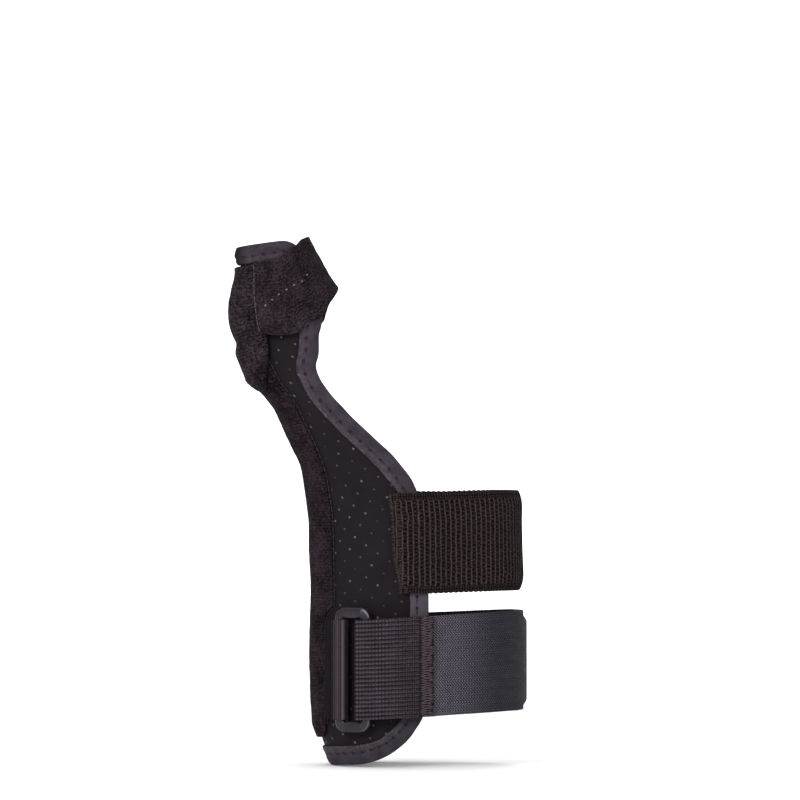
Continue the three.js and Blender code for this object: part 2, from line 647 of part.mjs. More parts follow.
// The webbing: sewn to the palm side, round the forearm, under the ring's bar, back over it through
// the slot, and sewn on top of the hook tab.
function makeForearmStrap() {
  const half = WEBBING_THICKNESS / 2;
  const turn = LAYER_GAP + half;
  const lowerSteps = 34;
  const upperSteps = 8;
  const inner = RING_WIDTH / 2 - RING_BAR;
  const outer = RING_WIDTH / 2;
  const ringLength = lengthOf(RING_DEGREES, WEBBING_LEVEL);
  const start = forearmGirth - forearmEdge + WEBBING_PALMAR_OVERLAP;
  const end = ringLength + outer;
  const lower = Array.from({ length: lowerSteps + 1 }, (_, i) => {
    const length = blend(start, end, i / lowerSteps);
    return flatPoint(lay(length, WEBBING_LEVEL, strapBase(length, WEBBING_LEVEL) + half));
  });
  const fold = [
    ...foldRound(inner, 0, turn, 270, 180, 3),
    ...foldRound(inner, RING_THICKNESS, turn, 180, 90, 3),
    nearRing(outer, RING_THICKNESS + turn),
  ];
  const tabTop = (length) => tabBase(length) + TAB_THICKNESS + LAYER_GAP + half;
  const ringSag = RING_BAR / 6;
  const leave = RING_BASE + RING_THICKNESS + turn + ringSag;
  const last = tabStart + WEBBING_END_OVERLAP;
  const upper = Array.from({ length: upperSteps }, (_, i) => {
    const length = blend(end, last, (i + 1) / upperSteps);
    const height = blend(leave, tabTop(tabStart), ease((length - end) / (tabStart - LAYER_GAP - end)));
    return flatPoint(lay(length, WEBBING_LEVEL, Math.max(height, tabTop(length))));
  });
  const path = [...lower, ...fold, ...upper];
  const strip = ribbon(path, WEBBING_THICKNESS, WEBBING_WIDTH, WEBBING_LEVEL, webbingRise);
  return named("forearm_strap", strip, webbing);
}

// The hook tab: a strip with cut corners that runs on from the webbing's end round the forearm.
function makeHookTab() {
  const columns = 18;
  const rows = 2;
  const straight = 14;
  const place = (i, j, side) => {
    const cut = Math.max(0, i - straight) / (columns - straight);
    const uncut = (TAB_LENGTH - TAB_CORNER_LENGTH) * (Math.min(i, straight) / straight);
    const length = tabStart + uncut + TAB_CORNER_LENGTH * cut;
    const width = WEBBING_WIDTH - 2 * TAB_CORNER_WIDTH * cut;
    const point = lay(length, WEBBING_LEVEL, tabBase(length) + side * TAB_THICKNESS);
    point.z = WEBBING_LEVEL + width * (j / rows - 0.5) + webbingRise(point.x);
    return point;
  };
  return named("hook_tab", slab(columns, rows, place), twill);
}

const splint = new THREE.Group();
splint.add(makeShell());
splint.add(makeBinding());
splint.add(makePanel());
splint.add(makeFlap());
splint.add(makeThumbStrap());
splint.add(makeElastic());
splint.add(makeRing());
splint.add(makeRingTape());
splint.add(makeForearmStrap());
splint.add(makeHookTab());

export default splint;
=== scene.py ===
import math

import bmesh
import bpy
import numpy as np
from mathutils import Matrix, Vector, noise


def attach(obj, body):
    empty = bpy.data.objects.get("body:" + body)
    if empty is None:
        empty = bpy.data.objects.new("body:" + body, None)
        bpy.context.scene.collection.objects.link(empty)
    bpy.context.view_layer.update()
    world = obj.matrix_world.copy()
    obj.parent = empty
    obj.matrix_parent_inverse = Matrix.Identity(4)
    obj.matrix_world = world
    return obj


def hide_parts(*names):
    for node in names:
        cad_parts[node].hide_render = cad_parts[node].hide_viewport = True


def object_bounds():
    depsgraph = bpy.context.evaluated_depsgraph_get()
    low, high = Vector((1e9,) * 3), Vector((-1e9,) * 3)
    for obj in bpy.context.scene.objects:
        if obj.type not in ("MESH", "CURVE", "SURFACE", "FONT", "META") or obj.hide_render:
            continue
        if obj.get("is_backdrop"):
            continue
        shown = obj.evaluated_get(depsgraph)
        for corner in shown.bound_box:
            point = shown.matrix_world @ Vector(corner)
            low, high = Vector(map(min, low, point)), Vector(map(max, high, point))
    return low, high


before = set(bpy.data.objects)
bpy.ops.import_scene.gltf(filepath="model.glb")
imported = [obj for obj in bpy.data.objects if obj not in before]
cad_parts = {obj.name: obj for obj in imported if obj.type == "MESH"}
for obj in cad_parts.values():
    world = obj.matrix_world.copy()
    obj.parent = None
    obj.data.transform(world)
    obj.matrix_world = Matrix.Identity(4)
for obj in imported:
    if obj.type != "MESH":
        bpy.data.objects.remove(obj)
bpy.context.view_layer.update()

# The shell
# A black foam laminate with a smooth knitted face, punched all over with small holes. It is cut flat and
# wraps the thumb side of the forearm, wrist and thumb like an open gutter, with its edge taped.

# The limb that it fits, section by section. level is a share of the splint's length, up from the lower
# edge. radial, crest and ulnar are shares of the wrist's breadth along X, and depth and lean of its
# depth. edge and seam are the turns in degrees to the shell's edge and to the padded panel's.
SPLINT_LENGTH = 0.1961
HEEL_LEVEL = -0.0826
RIM_LEVEL = HEEL_LEVEL + SPLINT_LENGTH
WRIST_BREADTH = 0.0705
WRIST_DEPTH = 0.049
SECTION_POWER = 2 / 2.25
LIMB = dict(zip(
    ("level", "radial", "crest", "ulnar", "depth", "lean", "tilt", "edge", "seam"),
    np.array([
        [0, -0.43, 0, 0.515, 0.485, 0, 0, 93, 33],
        [0.025, -0.46, 0, 0.53, 0.494, 0, 0, 93.3, 33.5],
        [0.065, -0.49, 0, 0.54, 0.5, 0, 0, 93.3, 34],
        [0.295, -0.5, 0, 0.542, 0.5, 0, 0, 93.3, 35],
        [0.461, -0.503, 0, 0.531, 0.5, 0, 0, 92, 34],
        [0.532, -0.525, -0.03, 0.535, 0.494, 0, 0, 89.6, 33.5],
        [0.577, -0.549, -0.085, 0.54, 0.48, 0.01, 0, 86.5, 33.5],
        [0.622, -0.607, -0.185, 0.535, 0.45, 0.025, 0, 82.6, 37],
        [0.668, -0.67, -0.31, 0.48, 0.413, 0.042, 0.01, 80.2, 40.5],
        [0.693, -0.708, -0.383, 0.42, 0.39, 0.055, 0.02, 80.2, 44],
        [0.723, -0.772, -0.468, 0.3, 0.358, 0.068, 0.035, 82.6, 48],
        [0.748, -0.83, -0.53, 0.17, 0.333, 0.078, 0.05, 86.2, 49],
        [0.773, -0.857, -0.582, 0, 0.31, 0.086, 0.06, 91.2, 49],
        [0.819, -0.905, -0.645, -0.28, 0.278, 0.098, 0.08, 101.8, 49],
        [0.864, -0.943, -0.695, -0.46, 0.252, 0.108, 0.095, 124, 49],
        [0.909, -0.937, -0.735, -0.545, 0.228, 0.118, 0.105, 131, 49],
        [0.955, -0.919, -0.76, -0.605, 0.21, 0.126, 0.115, 138, 49],
        [1.000, -0.935, -0.79, -0.655, 0.196, 0.132, 0.12, 143, 49],
    ]).T,
))

# Heights above the skin at which the shell's outer face and what lies on it are. Two layers of cloth
# have LAYER_GAP of air between them.
LAYER_GAP = 0.0004
SKIN_ROOM = 0.0012
SHELL_TOP = 0.003
ON_SHELL = SHELL_TOP + LAYER_GAP
HEEL_RADIUS = 0.028
RIM_RADIUS = 0.009


def ease(value):
    value = np.clip(value, 0, 1)
    return value * value * (3 - 2 * value)


def through(at, x, y):
    """A smooth curve through some points. It never overshoots them and runs on straight past the ends."""
    at = np.asarray(at, float)
    slope = np.diff(y) / np.diff(x)
    tangent = np.zeros(len(x))
    tangent[0], tangent[-1] = slope[0], slope[-1]
    product, total = slope[:-1] * slope[1:], slope[:-1] + slope[1:]
    tangent[1:-1] = np.where(product > 0, 2 * product / np.where(total == 0, 1, total), 0)
    inside = np.clip(at, x[0], x[-1])
    i = np.clip(np.searchsorted(x, inside, side="right") - 1, 0, len(x) - 2)
    span = x[i + 1] - x[i]
    t = (inside - x[i]) / span
    value = y[i] + (y[i + 1] - y[i]) * (3 * t**2 - 2 * t**3)
    value += span * ((t - 2 * t**2 + t**3) * tangent[i] + (t**3 - t**2) * tangent[i + 1])
    return value + (at - inside) * np.where(at < x[0], tangent[0], tangent[-1])


def limb(name, level):
    return through((np.asarray(level) - HEEL_LEVEL) / SPLINT_LENGTH, LIMB["level"], LIMB[name])


def skin(turn, level):
    """Points of the limb's skin. turn goes in degrees from 0 at the thumb side over the hand's back."""
    angle = np.radians(turn)
    along = np.sign(np.cos(angle)) * np.abs(np.cos(angle)) ** SECTION_POWER
    across = np.sign(np.sin(angle)) * np.abs(np.sin(angle)) ** SECTION_POWER
    crest = limb("crest", level)
    side = np.where(along > 0, limb("radial", level), limb("ulnar", level))
    from_crest = np.abs(along) * (side - crest) * WRIST_BREADTH
    y = (limb("lean", level) - across * limb("depth", level)) * WRIST_DEPTH
    return np.stack([crest * WRIST_BREADTH + from_crest, y, level + limb("tilt", level) * from_crest], -1)


def above(turn, level, height):
    """Points at a height above the skin."""
    turn, level, height = np.broadcast_arrays(*(np.asarray(v, float) for v in (turn, level, height)))
    level_step = 0.002 * SPLINT_LENGTH
    outward = np.cross(
        skin(turn + 0.6, level) - skin(turn - 0.6, level),
        skin(turn, level + level_step) - skin(turn, level - level_step),
    )
    outward /= np.linalg.norm(outward, axis=-1, keepdims=True)
    return skin(turn, level) + outward * height[..., None]


# Lengths round the sections, measured on the shell's outer face from the thumb side. The flat pattern
# of each piece of cloth is drawn in this length and the level.
TURN_STEP = 3.0
LEVEL_STEP = 0.0005
GIRTH_LEVELS = np.arange(-0.098, 0.126, LEVEL_STEP)
shell_face = above(np.arange(0, 181, TURN_STEP)[None, :], GIRTH_LEVELS[:, None], SHELL_TOP)
GIRTHS = np.zeros(shell_face.shape[:2])
GIRTHS[:, 1:] = np.cumsum(np.linalg.norm(np.diff(shell_face, axis=1), axis=-1), axis=1)


def girths_at(level):
    place = (np.asarray(level, float) - GIRTH_LEVELS[0]) / LEVEL_STEP
    i = np.clip(place.astype(int), 0, len(GIRTH_LEVELS) - 2)
    share = (place - i)[..., None]
    return GIRTHS[i] * (1 - share) + GIRTHS[i + 1] * share


def half_girth(level):
    return girths_at(level)[..., -1]


def ends_of_step(rows, i):
    """The lengths at which step i of each row begins and ends."""
    return (np.take_along_axis(rows, i[..., None] + k, -1)[..., 0] for k in (0, 1))


def length_to(turn, level):
    """The length round the section to a turn."""
    turn, level = np.broadcast_arrays(np.asarray(turn, float), np.asarray(level, float))
    rows = girths_at(level)
    place = np.abs(turn) / TURN_STEP
    i = np.clip(place.astype(int), 0, rows.shape[-1] - 2)
    low, high = ends_of_step(rows, i)
    return np.sign(turn) * (low + (high - low) * (place - i))


def folded_back(length, half):
    """A length round the section. One that is past half the girth is measured back along the palm."""
    return np.where(length > half, 2 * half - length, length)


def turn_at(length, level):
    """The turn at a length round the section. Past half the girth it comes back along the palm."""
    length, level = np.broadcast_arrays(np.asarray(length, float), np.asarray(level, float))
    rows = girths_at(level)
    half = rows[..., -1]
    folded = folded_back(np.abs(length), half)
    i = np.clip((rows < folded[..., None]).sum(-1) - 1, 0, rows.shape[-1] - 2)
    low, high = ends_of_step(rows, i)
    turn = TURN_STEP * (i + (folded - low) / (high - low))
    return np.sign(length) * np.where(np.abs(length) > half, 360 - turn, turn)


def lay(length, level, height):
    """Points of the flat pattern, laid on the limb at a height above the skin."""
    return above(turn_at(length, level), level, height)


def corner_cut(radius, distance):
    """How much a rounded corner takes off the half width, at a distance from the corner's end."""
    inside = np.clip(radius - distance, 0, radius)
    return radius - np.sqrt(radius**2 - inside**2)


def shell_half_width(level):
    half = length_to(limb("edge", level), level)
    return half - corner_cut(HEEL_RADIUS, level - HEEL_LEVEL) - corner_cut(RIM_RADIUS, RIM_LEVEL - level)


def lumps(points, size, seed):
    """Soft unevenness of cloth, from -1 to 1, at each point."""
    shift = Vector((seed * 7.31, seed * 3.77, seed * 5.19))
    return np.array([noise.noise(Vector(p) / size + shift) for p in points])


def placed(name, data):
    thing = bpy.data.objects.new(name, data)
    bpy.context.scene.collection.objects.link(thing)
    return thing


def placed_mesh(bm, name, finish):
    mesh = bpy.data.meshes.new(name)
    bm.to_mesh(mesh)
    bm.free()
    mesh.shade_smooth()
    mesh.materials.append(finish)
    return placed(name, mesh)


def shown(bm, name, finish, stands_for=None):
    """Makes a finished mesh a piece of the splint."""
    bmesh.ops.recalc_face_normals(bm, faces=bm.faces[:])
    piece = placed_mesh(bm, name, finish)
    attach(piece, "root")
    if stands_for:
        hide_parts(stands_for)
    return piece


def mould(bm, points, flat):
    """Moves a mesh's points to where they lie, and keeps where each lay on the flat pattern."""
    layer = bm.verts.layers.float_vector.new("flat")
    for vertex, point, place in zip(bm.verts, points, flat):
        vertex.co = point
        vertex[layer] = place


def rim_edges(bm):
    """The edges between the flat faces and the sides."""
    bm.normal_update()
    return [e for e in bm.edges if len(e.link_faces) == 2
            and sorted(abs(f.normal.z) > 0.5 for f in e.link_faces) == [False, True]]


def round_off(bm, edges, radius, segments, clamped=False):
    bmesh.ops.bevel(bm, geom=edges, offset=radius, segments=segments, profile=0.5, affect="EDGES",
                    material=-1, clamp_overlap=clamped)


def cloth(name, size, cells, thickness, rim, place, finish, stands_for):
    """A flat piece of cloth, width by length, with rounded cut edges. place takes the shares across and
    along it and the height in it, and gives the points and where they lay on the flat pattern."""
    bm = bmesh.new()
    bmesh.ops.create_grid(bm, x_segments=cells[0], y_segments=cells[1], size=0.5)
    bmesh.ops.scale(bm, vec=(*size, 1), verts=bm.verts[:])
    bmesh.ops.solidify(bm, geom=bm.faces[:], thickness=thickness)
    round_off(bm, rim_edges(bm), rim, 2, clamped=True)
    corners = np.array([v.co for v in bm.verts])
    height = np.clip(corners[:, 2] - corners[:, 2].min(), 0, thickness)
    shares = np.clip(corners[:, :2] / size + 0.5, 0, 1)
    mould(bm, *place(*shares.T, height))
    return shown(bm, name, finish, stands_for)


class Reading:
    """A number or colour in a finish's nodes. Sums with it become nodes too."""

    def __init__(self, finish, socket):
        self.finish = finish
        self.socket = socket

    def output(self, index):
        return Reading(self.finish, self.socket.node.outputs[index])

    def worked(self, operation, *values):
        return self.finish.node("Math", {"operation": operation}, dict(enumerate(values)))

    def __add__(self, other): return self.worked("ADD", self, other)
    def __radd__(self, other): return self.worked("ADD", other, self)
    def __sub__(self, other): return self.worked("SUBTRACT", self, other)
    def __rsub__(self, other): return self.worked("SUBTRACT", other, self)
    def __mul__(self, other): return self.worked("MULTIPLY", self, other)
    def __rmul__(self, other): return self.worked("MULTIPLY", other, self)
    def __truediv__(self, other): return self.worked("DIVIDE", self, other)
    def __pow__(self, other): return self.worked("POWER", self, other)
    def __abs__(self): return self.worked("ABSOLUTE", self)
    def floor(self): return self.worked("FLOOR", self)
    def remainder(self): return self.worked("FRACT", self)
    def root(self): return self.worked("SQRT", self)
    def sine(self): return self.worked("SINE", self)
    def most(self, other): return self.worked("MAXIMUM", self, other)

    def wave(self, period, shift=0.0):
        """Goes from 0 to 1 and back once in each period."""
        return (self * (2 * math.pi / period) + shift).sine() * 0.5 + 0.5

    def step(self, low, high):
        """Eases from 0 at low to 1 at high."""
        return self.finish.node("MapRange", {"interpolation_type": "SMOOTHSTEP"},
                                {0: self, 1: low, 2: high, 3: 0.0, 4: 1.0})


def colour(values):
    """A colour as a shader takes it, from the 0 to 255 values that a picture shows."""
    return (*(((c / 255 + 0.055) / 1.055) ** 2.4 if c > 10 else c / 255 / 12.92 for c in values), 1)


class Finish:
    """A finish: one shader and the nodes that drive it. fixed are the shader's even values."""

    def __init__(self, name, fixed):
        self.material = bpy.data.materials.new(name)
        self.material.use_nodes = True
        self.tree = self.material.node_tree
        self.shader = self.tree.nodes["Principled BSDF"]
        for socket, value in fixed.items():
            self.shader.inputs[socket].default_value = value

    def node(self, kind, settings=None, inputs=None, output=0):
        made = self.tree.nodes.new("ShaderNode" + kind)
        for key, value in (settings or {}).items():
            setattr(made, key, value)
        for key, value in (inputs or {}).items():
            if isinstance(value, Reading):
                self.tree.links.new(value.socket, made.inputs[key])
            else:
                made.inputs[key].default_value = value
        return Reading(self, made.outputs[output])

    def drive(self, socket, value):
        self.tree.links.new(value.socket, self.shader.inputs[socket])

    def pattern(self):
        """Where a point lay on the flat cloth, in millimetres. The grain is drawn there too."""
        flat = self.node("Attribute", {"attribute_name": "flat"}, output=1)
        self.place = self.node("VectorMath", {"operation": "SCALE"}, {0: flat, 3: 1000.0})
        split = self.node("SeparateXYZ", None, {0: self.place})
        return split.output(0), split.output(1), split.output(2)

    def grain(self, scale, detail=2.0, roughness=0.5):
        return self.node("TexNoise", None, {
            "Vector": self.place, "Scale": scale, "Detail": detail, "Roughness": roughness})

    def mix(self, share, first, second):
        """A blend of two colours, each a reading or the 0 to 255 values that a picture shows."""
        first, second = (c if isinstance(c, Reading) else colour(c) for c in (first, second))
        return self.node("Mix", {"data_type": "RGBA"}, {0: share, 6: first, 7: second}, 2)

    def made(self, tone, relief, roughness=None, depth_mm=1.0):
        """The material, with its colour, the height of its relief and, where it varies, its roughness."""
        self.drive("Base Color", tone)
        if roughness:
            self.drive("Roughness", roughness)
        self.drive("Normal", self.node("Bump", None, {
            "Strength": 1.0, "Distance": depth_mm / 1000, "Height": relief}))
        return self.material


HOLE_STEP = 4.56


def laminate_finish():
    finish = Finish("laminate", {"Specular IOR Level": 0.08})
    x, y, _ = finish.pattern()
    # The holes stand in slanting rows. a and b count the rows, and away is the way to the nearest hole.
    a = x * 0.16445 - y * 0.08222
    b = x * -0.10963 - y * 0.16445
    cell = finish.node("CombineXYZ", None, {0: a.floor(), 1: b.floor(), 2: 0.5})
    chance = finish.node("TexWhiteNoise", {"noise_dimensions": "3D"}, {"Vector": cell})
    off_a, off_b = a.remainder() - 0.5, b.remainder() - 0.5
    off_x = off_a * HOLE_STEP - off_b * (HOLE_STEP / 2)
    off_y = off_a * (-HOLE_STEP * 2 / 3) - off_b * HOLE_STEP
    away = (off_x * off_x + off_y * off_y).root()
    hole = 1 - away.step(0.24, 0.58)
    lip = away.step(0.35, 0.6) * (1 - away.step(0.6, 1.0))
    cloudy = finish.grain(0.09, 3.0)
    fine = finish.grain(3.2, 1.0)
    knit = x.wave(0.52) * y.wave(0.62)
    base = finish.mix(cloudy * 0.6 + fine * 0.4, (16, 12, 16), (34, 29, 34))
    dot = finish.mix(chance, (44, 40, 43), (106, 101, 104))
    return finish.made(finish.mix(hole, base, dot),
                       knit * 0.05 + fine * 0.05 - hole * 0.3 - lip * 0.08, 0.62 + fine * 0.2)


laminate = laminate_finish()


def on_shell(u, v, height):
    # The rows crowd together at the two ends, where the outline's corners are rounded.
    crowded = v + 0.8 * v * (1 - v) * (2 * v - 1)
    level = HEEL_LEVEL + SPLINT_LENGTH * crowded
    length = shell_half_width(level) * (2 * u - 1)
    return lay(length, level, SKIN_ROOM + height), np.stack([length, level, height], -1)


shell = cloth("shell_cloth", (0.15, SPLINT_LENGTH), (90, 130), SHELL_TOP - SKIN_ROOM, 0.0003, on_shell,
              laminate, "shell")


# The bound edge
# A smooth grey tape folded over the shell's edge, once round, and sewn through with one row of stitches
# near its inner border. The stitches pull small dimples into it.

BINDING_FOLD = np.array([
    (6.2, 3.4), (6.25, 3.66), (6.05, 3.94), (5.5, 4.08), (4.6, 4.08), (3.9, 3.94), (3.5, 3.84), (3.1, 3.9),
    (2.5, 4.08), (1.8, 4.12), (1.0, 4.08), (0.2, 4.0), (-0.5, 3.8), (-0.88, 3.4), (-1.0, 2.8), (-1.0, 1.4),
    (-0.85, 0.75), (-0.4, 0.3), (0.5, 0.2), (3.2, 0.2), (5.8, 0.2), (6.2, 0.45), (5.9, 0.78), (3.2, 0.8),
    (-0.2, 0.9), (-0.4, 2.1), (-0.2, 3.3), (3.2, 3.38),
]) / 1000
BINDING_WIDTH = 0.0062
STITCH_DEPTH = 0.0035
STITCH_PITCH = 0.0043
EDGE_STEP = 0.0015


def lengths_along(points):
    """The length along a path to each of its points."""
    return np.concatenate([[0], np.cumsum(np.linalg.norm(np.diff(points, axis=0), axis=1))])


def outline_of_shell():
    """The shell's outline on the flat pattern, once round, in even steps, and the length to each."""
    angles = np.linspace(0, math.pi / 2, 40)
    levels = np.concatenate([
        HEEL_LEVEL + HEEL_RADIUS * (1 - np.cos(angles)),
        np.linspace(HEEL_LEVEL + HEEL_RADIUS, RIM_LEVEL - RIM_RADIUS, 160)[1:-1],
        RIM_LEVEL - RIM_RADIUS * (1 - np.cos(angles[::-1])),
    ])
    half = shell_half_width(levels)
    low = np.linspace(-half[0], half[0], 40)[1:-1]
    high = np.linspace(half[-1], -half[-1], 30)[1:-1]
    closed = np.concatenate([
        np.stack([low, np.full(len(low), levels[0])], -1),
        np.stack([half, levels], -1),
        np.stack([high, np.full(len(high), levels[-1])], -1),
        np.stack([-half[::-1], levels[::-1]], -1),
        [[low[0], levels[0]]],
    ])
    along = lengths_along(closed)
    stations = np.linspace(0, along[-1], int(along[-1] / EDGE_STEP), endpoint=False)
    return np.stack([np.interp(stations, along, column) for column in closed.T], -1), stations


def inward_of(outline):
    """Steps on the flat pattern, square to the edge as it lies on the limb, for each metre there."""
    small = 0.0002
    edge = lay(*outline.T, SHELL_TOP)
    along = np.roll(edge, -2, 0) - np.roll(edge, 2, 0)
    across = (lay(outline[:, 0] + small, outline[:, 1], SHELL_TOP) - edge) / small
    up = (lay(outline[:, 0], outline[:, 1] + small, SHELL_TOP) - edge) / small
    step = np.stack([-(up * along).sum(-1), (across * along).sum(-1)], -1)
    step /= np.linalg.norm(across * step[:, :1] + up * step[:, 1:], axis=1, keepdims=True)
    for _ in range(12):
        step = (np.roll(step, 1, 0) + 2 * step + np.roll(step, -1, 0)) / 4
    return step


edge_line, edge_stations = outline_of_shell()
edge_inward = inward_of(edge_line)


def binding_finish(rubbed_at, shaded_at):
    finish = Finish("binding", {"Specular IOR Level": 0.1})
    along, depth, _ = finish.pattern()
    cloudy = finish.grain(0.22, 3.0)
    fine = finish.grain(2.4)
    knit = (along + depth * 0.5).wave(0.55) * (depth * 0.9 - along * 0.2).wave(0.5)
    fluff = finish.grain(1.3, 2.0, 0.7)
    border = depth.step(1.6, 4.6)
    base = finish.mix((cloudy * 0.4 + fluff * 0.6).step(0.25, 0.75), (42, 35, 42), (76, 68, 76))
    outer = finish.mix((cloudy * 0.5 + fine * 0.5).step(0.25, 0.75), (36, 31, 38), (64, 58, 66))
    fray = depth.step(5.3, 5.8) * fluff.step(0.52, 0.66)
    tone = finish.mix(fray, finish.mix(border, outer, base), (86, 77, 84))
    stitch_mm, row_mm = STITCH_PITCH * 1000, STITCH_DEPTH * 1000
    off_stitch = ((along / stitch_mm).remainder() - 0.5) * stitch_mm
    off_row = depth - row_mm
    near = (off_stitch * off_stitch + off_row * off_row * 1.6).root()
    # Painted shade: the tape is darkened in the dimple round each stitch.
    pinch = 1 - near.step(0.25, 0.8)
    wear_and_highlight = (1 - abs(along - rubbed_at).step(3.5, 7)) * (0.45 + fine * 0.4)
    worn_tone = finish.mix(wear_and_highlight, tone, (82, 75, 85))
    # Painted shade: the tape is darkened round the rim's thumb side.
    shaded = (1 - abs(along - shaded_at).step(4, 12)) * 0.97
    tape_tone = finish.mix(shaded, worn_tone, (5, 3, 4))
    return finish.made(finish.mix(pinch * 0.85, tape_tone, (16, 12, 16)),
                       knit * 0.05 + fine * 0.06 - pinch * 0.25, 0.6 + fine * 0.25)


def binding():
    count, size = len(edge_line), len(BINDING_FOLD)
    bm = bmesh.new()
    bmesh.ops.create_grid(bm, x_segments=count, y_segments=size, size=0.5)
    shares = np.array([v.co for v in bm.verts])[:, :2] + 0.5
    i = np.rint(shares[:, 0] * count).astype(int) % count
    j = np.rint(shares[:, 1] * size).astype(int) % size
    depth, height = BINDING_FOLD[j].T
    station = edge_stations[i]
    dimple = np.exp(-(((depth - STITCH_DEPTH) / 0.0008) ** 2)) * (height > 0.0036)
    height = height - dimple * 0.00012 * (1 + np.cos(2 * math.pi * (station / STITCH_PITCH - 0.5)))
    # It is rubbed lighter on the back of the hand's side, between the two straps. On the rim, at the
    # thumb's outer side, its colour carries painted shade, and it is a little puffed.
    between_straps = np.abs(edge_line[:, 1] + 0.0245) + (edge_line[:, 0] < 0)
    thumb_side = np.abs(edge_line[:, 0]) + (edge_line[:, 1] < 0)
    rubbed_at, shaded_at = (float(edge_stations[off.argmin()]) for off in (between_straps, thumb_side))
    puffed = np.exp(-(((station - shaded_at) / 0.006) ** 2))
    puffed = puffed * np.sin(np.clip(depth / BINDING_WIDTH, 0, 1) * math.pi)
    height = height + 0.0008 * puffed * (height > 0.0034)
    wobble = 0.00007 * np.sin(station * 900) + 0.00006 * np.sin(station * 2400 + 1)
    depth = depth + wobble * (depth > 0.0055)
    x, level = (edge_line[i] + edge_inward[i] * depth[:, None]).T
    mould(bm, lay(x, level, height), np.stack([station, depth, height], -1))
    # The tape goes round once: its last column is its first again, and the fold closes on itself.
    bmesh.ops.remove_doubles(bm, verts=bm.verts[:], dist=0.000001)
    return shown(bm, "edge_tape", binding_finish(rubbed_at * 1000, shaded_at * 1000), "edge_binding")


edge_tape = binding()


def thread_finish(name, dark, light):
    finish = Finish(name, {"Specular IOR Level": 0.12})
    finish.place = finish.node("TexCoord", output=3)
    twist = finish.grain(2600.0, 1.0)
    return finish.made(finish.mix(twist, dark, light), twist, 0.55 + twist * 0.3, 0.06)


def sew(name, stitches, radius, finish):
    """Stitches, each a short plump bit of thread from one point to another, as one piece."""
    bm = bmesh.new()
    for start, end in stitches:
        start, end = Vector(start), Vector(end)
        run = end - start
        turn = run.to_track_quat("Z", "Y").to_matrix().to_4x4()
        size = Matrix.Diagonal((radius, radius, run.length / 2, 1))
        bmesh.ops.create_uvsphere(bm, u_segments=6, v_segments=4, radius=1,
                                  matrix=Matrix.Translation((start + end) / 2) @ turn @ size)
    return shown(bm, name, finish)


def along_path(points, pitch, share):
    """Pairs of points on a path: where each stitch of it comes up and goes down."""
    lengths = lengths_along(points)
    count = max(1, int(round(lengths[-1] / pitch)))
    starts = np.arange(count) * lengths[-1] / count
    ends = starts + lengths[-1] / count * share
    return list(zip(*(np.stack([np.interp(at, lengths, column) for column in points.T], -1)
                      for at in (starts, ends))))


def binding_stitches():
    both = []
    for height in (0.00396, 0.00012):
        path = lay(*(edge_line + edge_inward * STITCH_DEPTH).T, height)
        both += along_path(np.concatenate([path, path[:1]]), STITCH_PITCH, 0.72)
    return both


edge_stitches = sew("edge_stitches", binding_stitches(), 0.0002,
                    thread_finish("tape_thread", (34, 28, 34), (62, 54, 62)))


# The padded panel
# A pad of black pile cloth over the bent stay, up the thumb side. Its border is turned under and sewn
# down, it thins under the thumb flap, and it steps back where the ring's tape comes out beside it.

PANEL_BOTTOM = HEEL_LEVEL + 0.0094
PANEL_LENGTH = 0.1486
PANEL_PADS = np.array([
    (0.0, 0.85), (0.1, 1.0), (0.2, 1.15), (0.37, 0.72), (0.5, 1.02), (0.6, 1.12), (0.78, 1.0), (0.88, 0.5),
    (1.0, 0.2),
]).T
PANEL_CORNER = 0.005
PAD_CLOTH = 0.0012
WEBBING_LEVEL = -0.048
NOTCH_LEVEL = WEBBING_LEVEL + 0.0197
NOTCH_CURVE = 0.0045
NOTCH_TURN = 9


def seam_turn(level):
    return limb("seam", level) - NOTCH_TURN * (1 - ease((level - NOTCH_LEVEL) / NOTCH_CURVE))


def panel_thickness(turn, level):
    share = np.clip((level - PANEL_BOTTOM) / PANEL_LENGTH, 0, 1)
    across = np.clip(np.abs(turn) / seam_turn(level), 0, 1)
    return 0.0009 + 0.002 * through(share, *PANEL_PADS) * (1 - across**2) ** 0.8


def pile_finish(name, low, high, tuft=1.25):
    """Loop pile: small soft tufts in faint rows, some lying lighter than others."""
    finish = Finish(name, {"Sheen Weight": 0.006, "Sheen Roughness": 0.6, "Specular IOR Level": 0.03,
                           "Roughness": 0.95})
    _, y, _ = finish.pattern()
    tufts = finish.grain(tuft, 3.0, 0.7)
    loops = finish.grain(tuft * 2.6, 2.0, 0.6)
    cloudy = finish.grain(0.12)
    rows = (y + (tufts - 0.5) * 0.8).wave(1.15)
    tone = (tufts - 0.5) * 2.3 + (loops - 0.5) * 2.2 + (cloudy - 0.5) * 1.0 + (rows - 0.5) * 0.16 + 0.42
    return finish.made(finish.mix(tone.step(0.0, 1.0), low, high), tufts * 0.5 + loops * 0.4 + rows * 0.05)


pile = pile_finish("pile", (10, 6, 9), (64, 55, 62))
panel_pile = pile_finish("panel_pile", (6, 3, 5), (54, 44, 51))


def unevenness(flat, seed, swell_size, swell, tuft):
    """How high the pile stands at each point, in broad swells and fine tufts."""
    return lumps(flat, swell_size, seed) * swell + lumps(flat, 0.0024, seed + 1) * tuft


def on_panel(u, v, height):
    from_end = PANEL_LENGTH * v
    level = PANEL_BOTTOM + from_end
    across = 2 * u - 1
    turn = seam_turn(level)
    length = (length_to(turn, level) - corner_cut(PANEL_CORNER, from_end)) * across
    thinning = 0.6 + 0.4 * ease(from_end / PANEL_CORNER)
    thickness = panel_thickness(across * turn, level) * thinning
    flat = np.stack([length, level, height], -1)
    soft = unevenness(flat, 1, 0.009, 0.00022, 0.00012)
    rise = thickness + soft * np.clip((1 - np.abs(across)) * 6, 0, 1)
    return lay(length, level, ON_SHELL + height / PAD_CLOTH * rise), flat


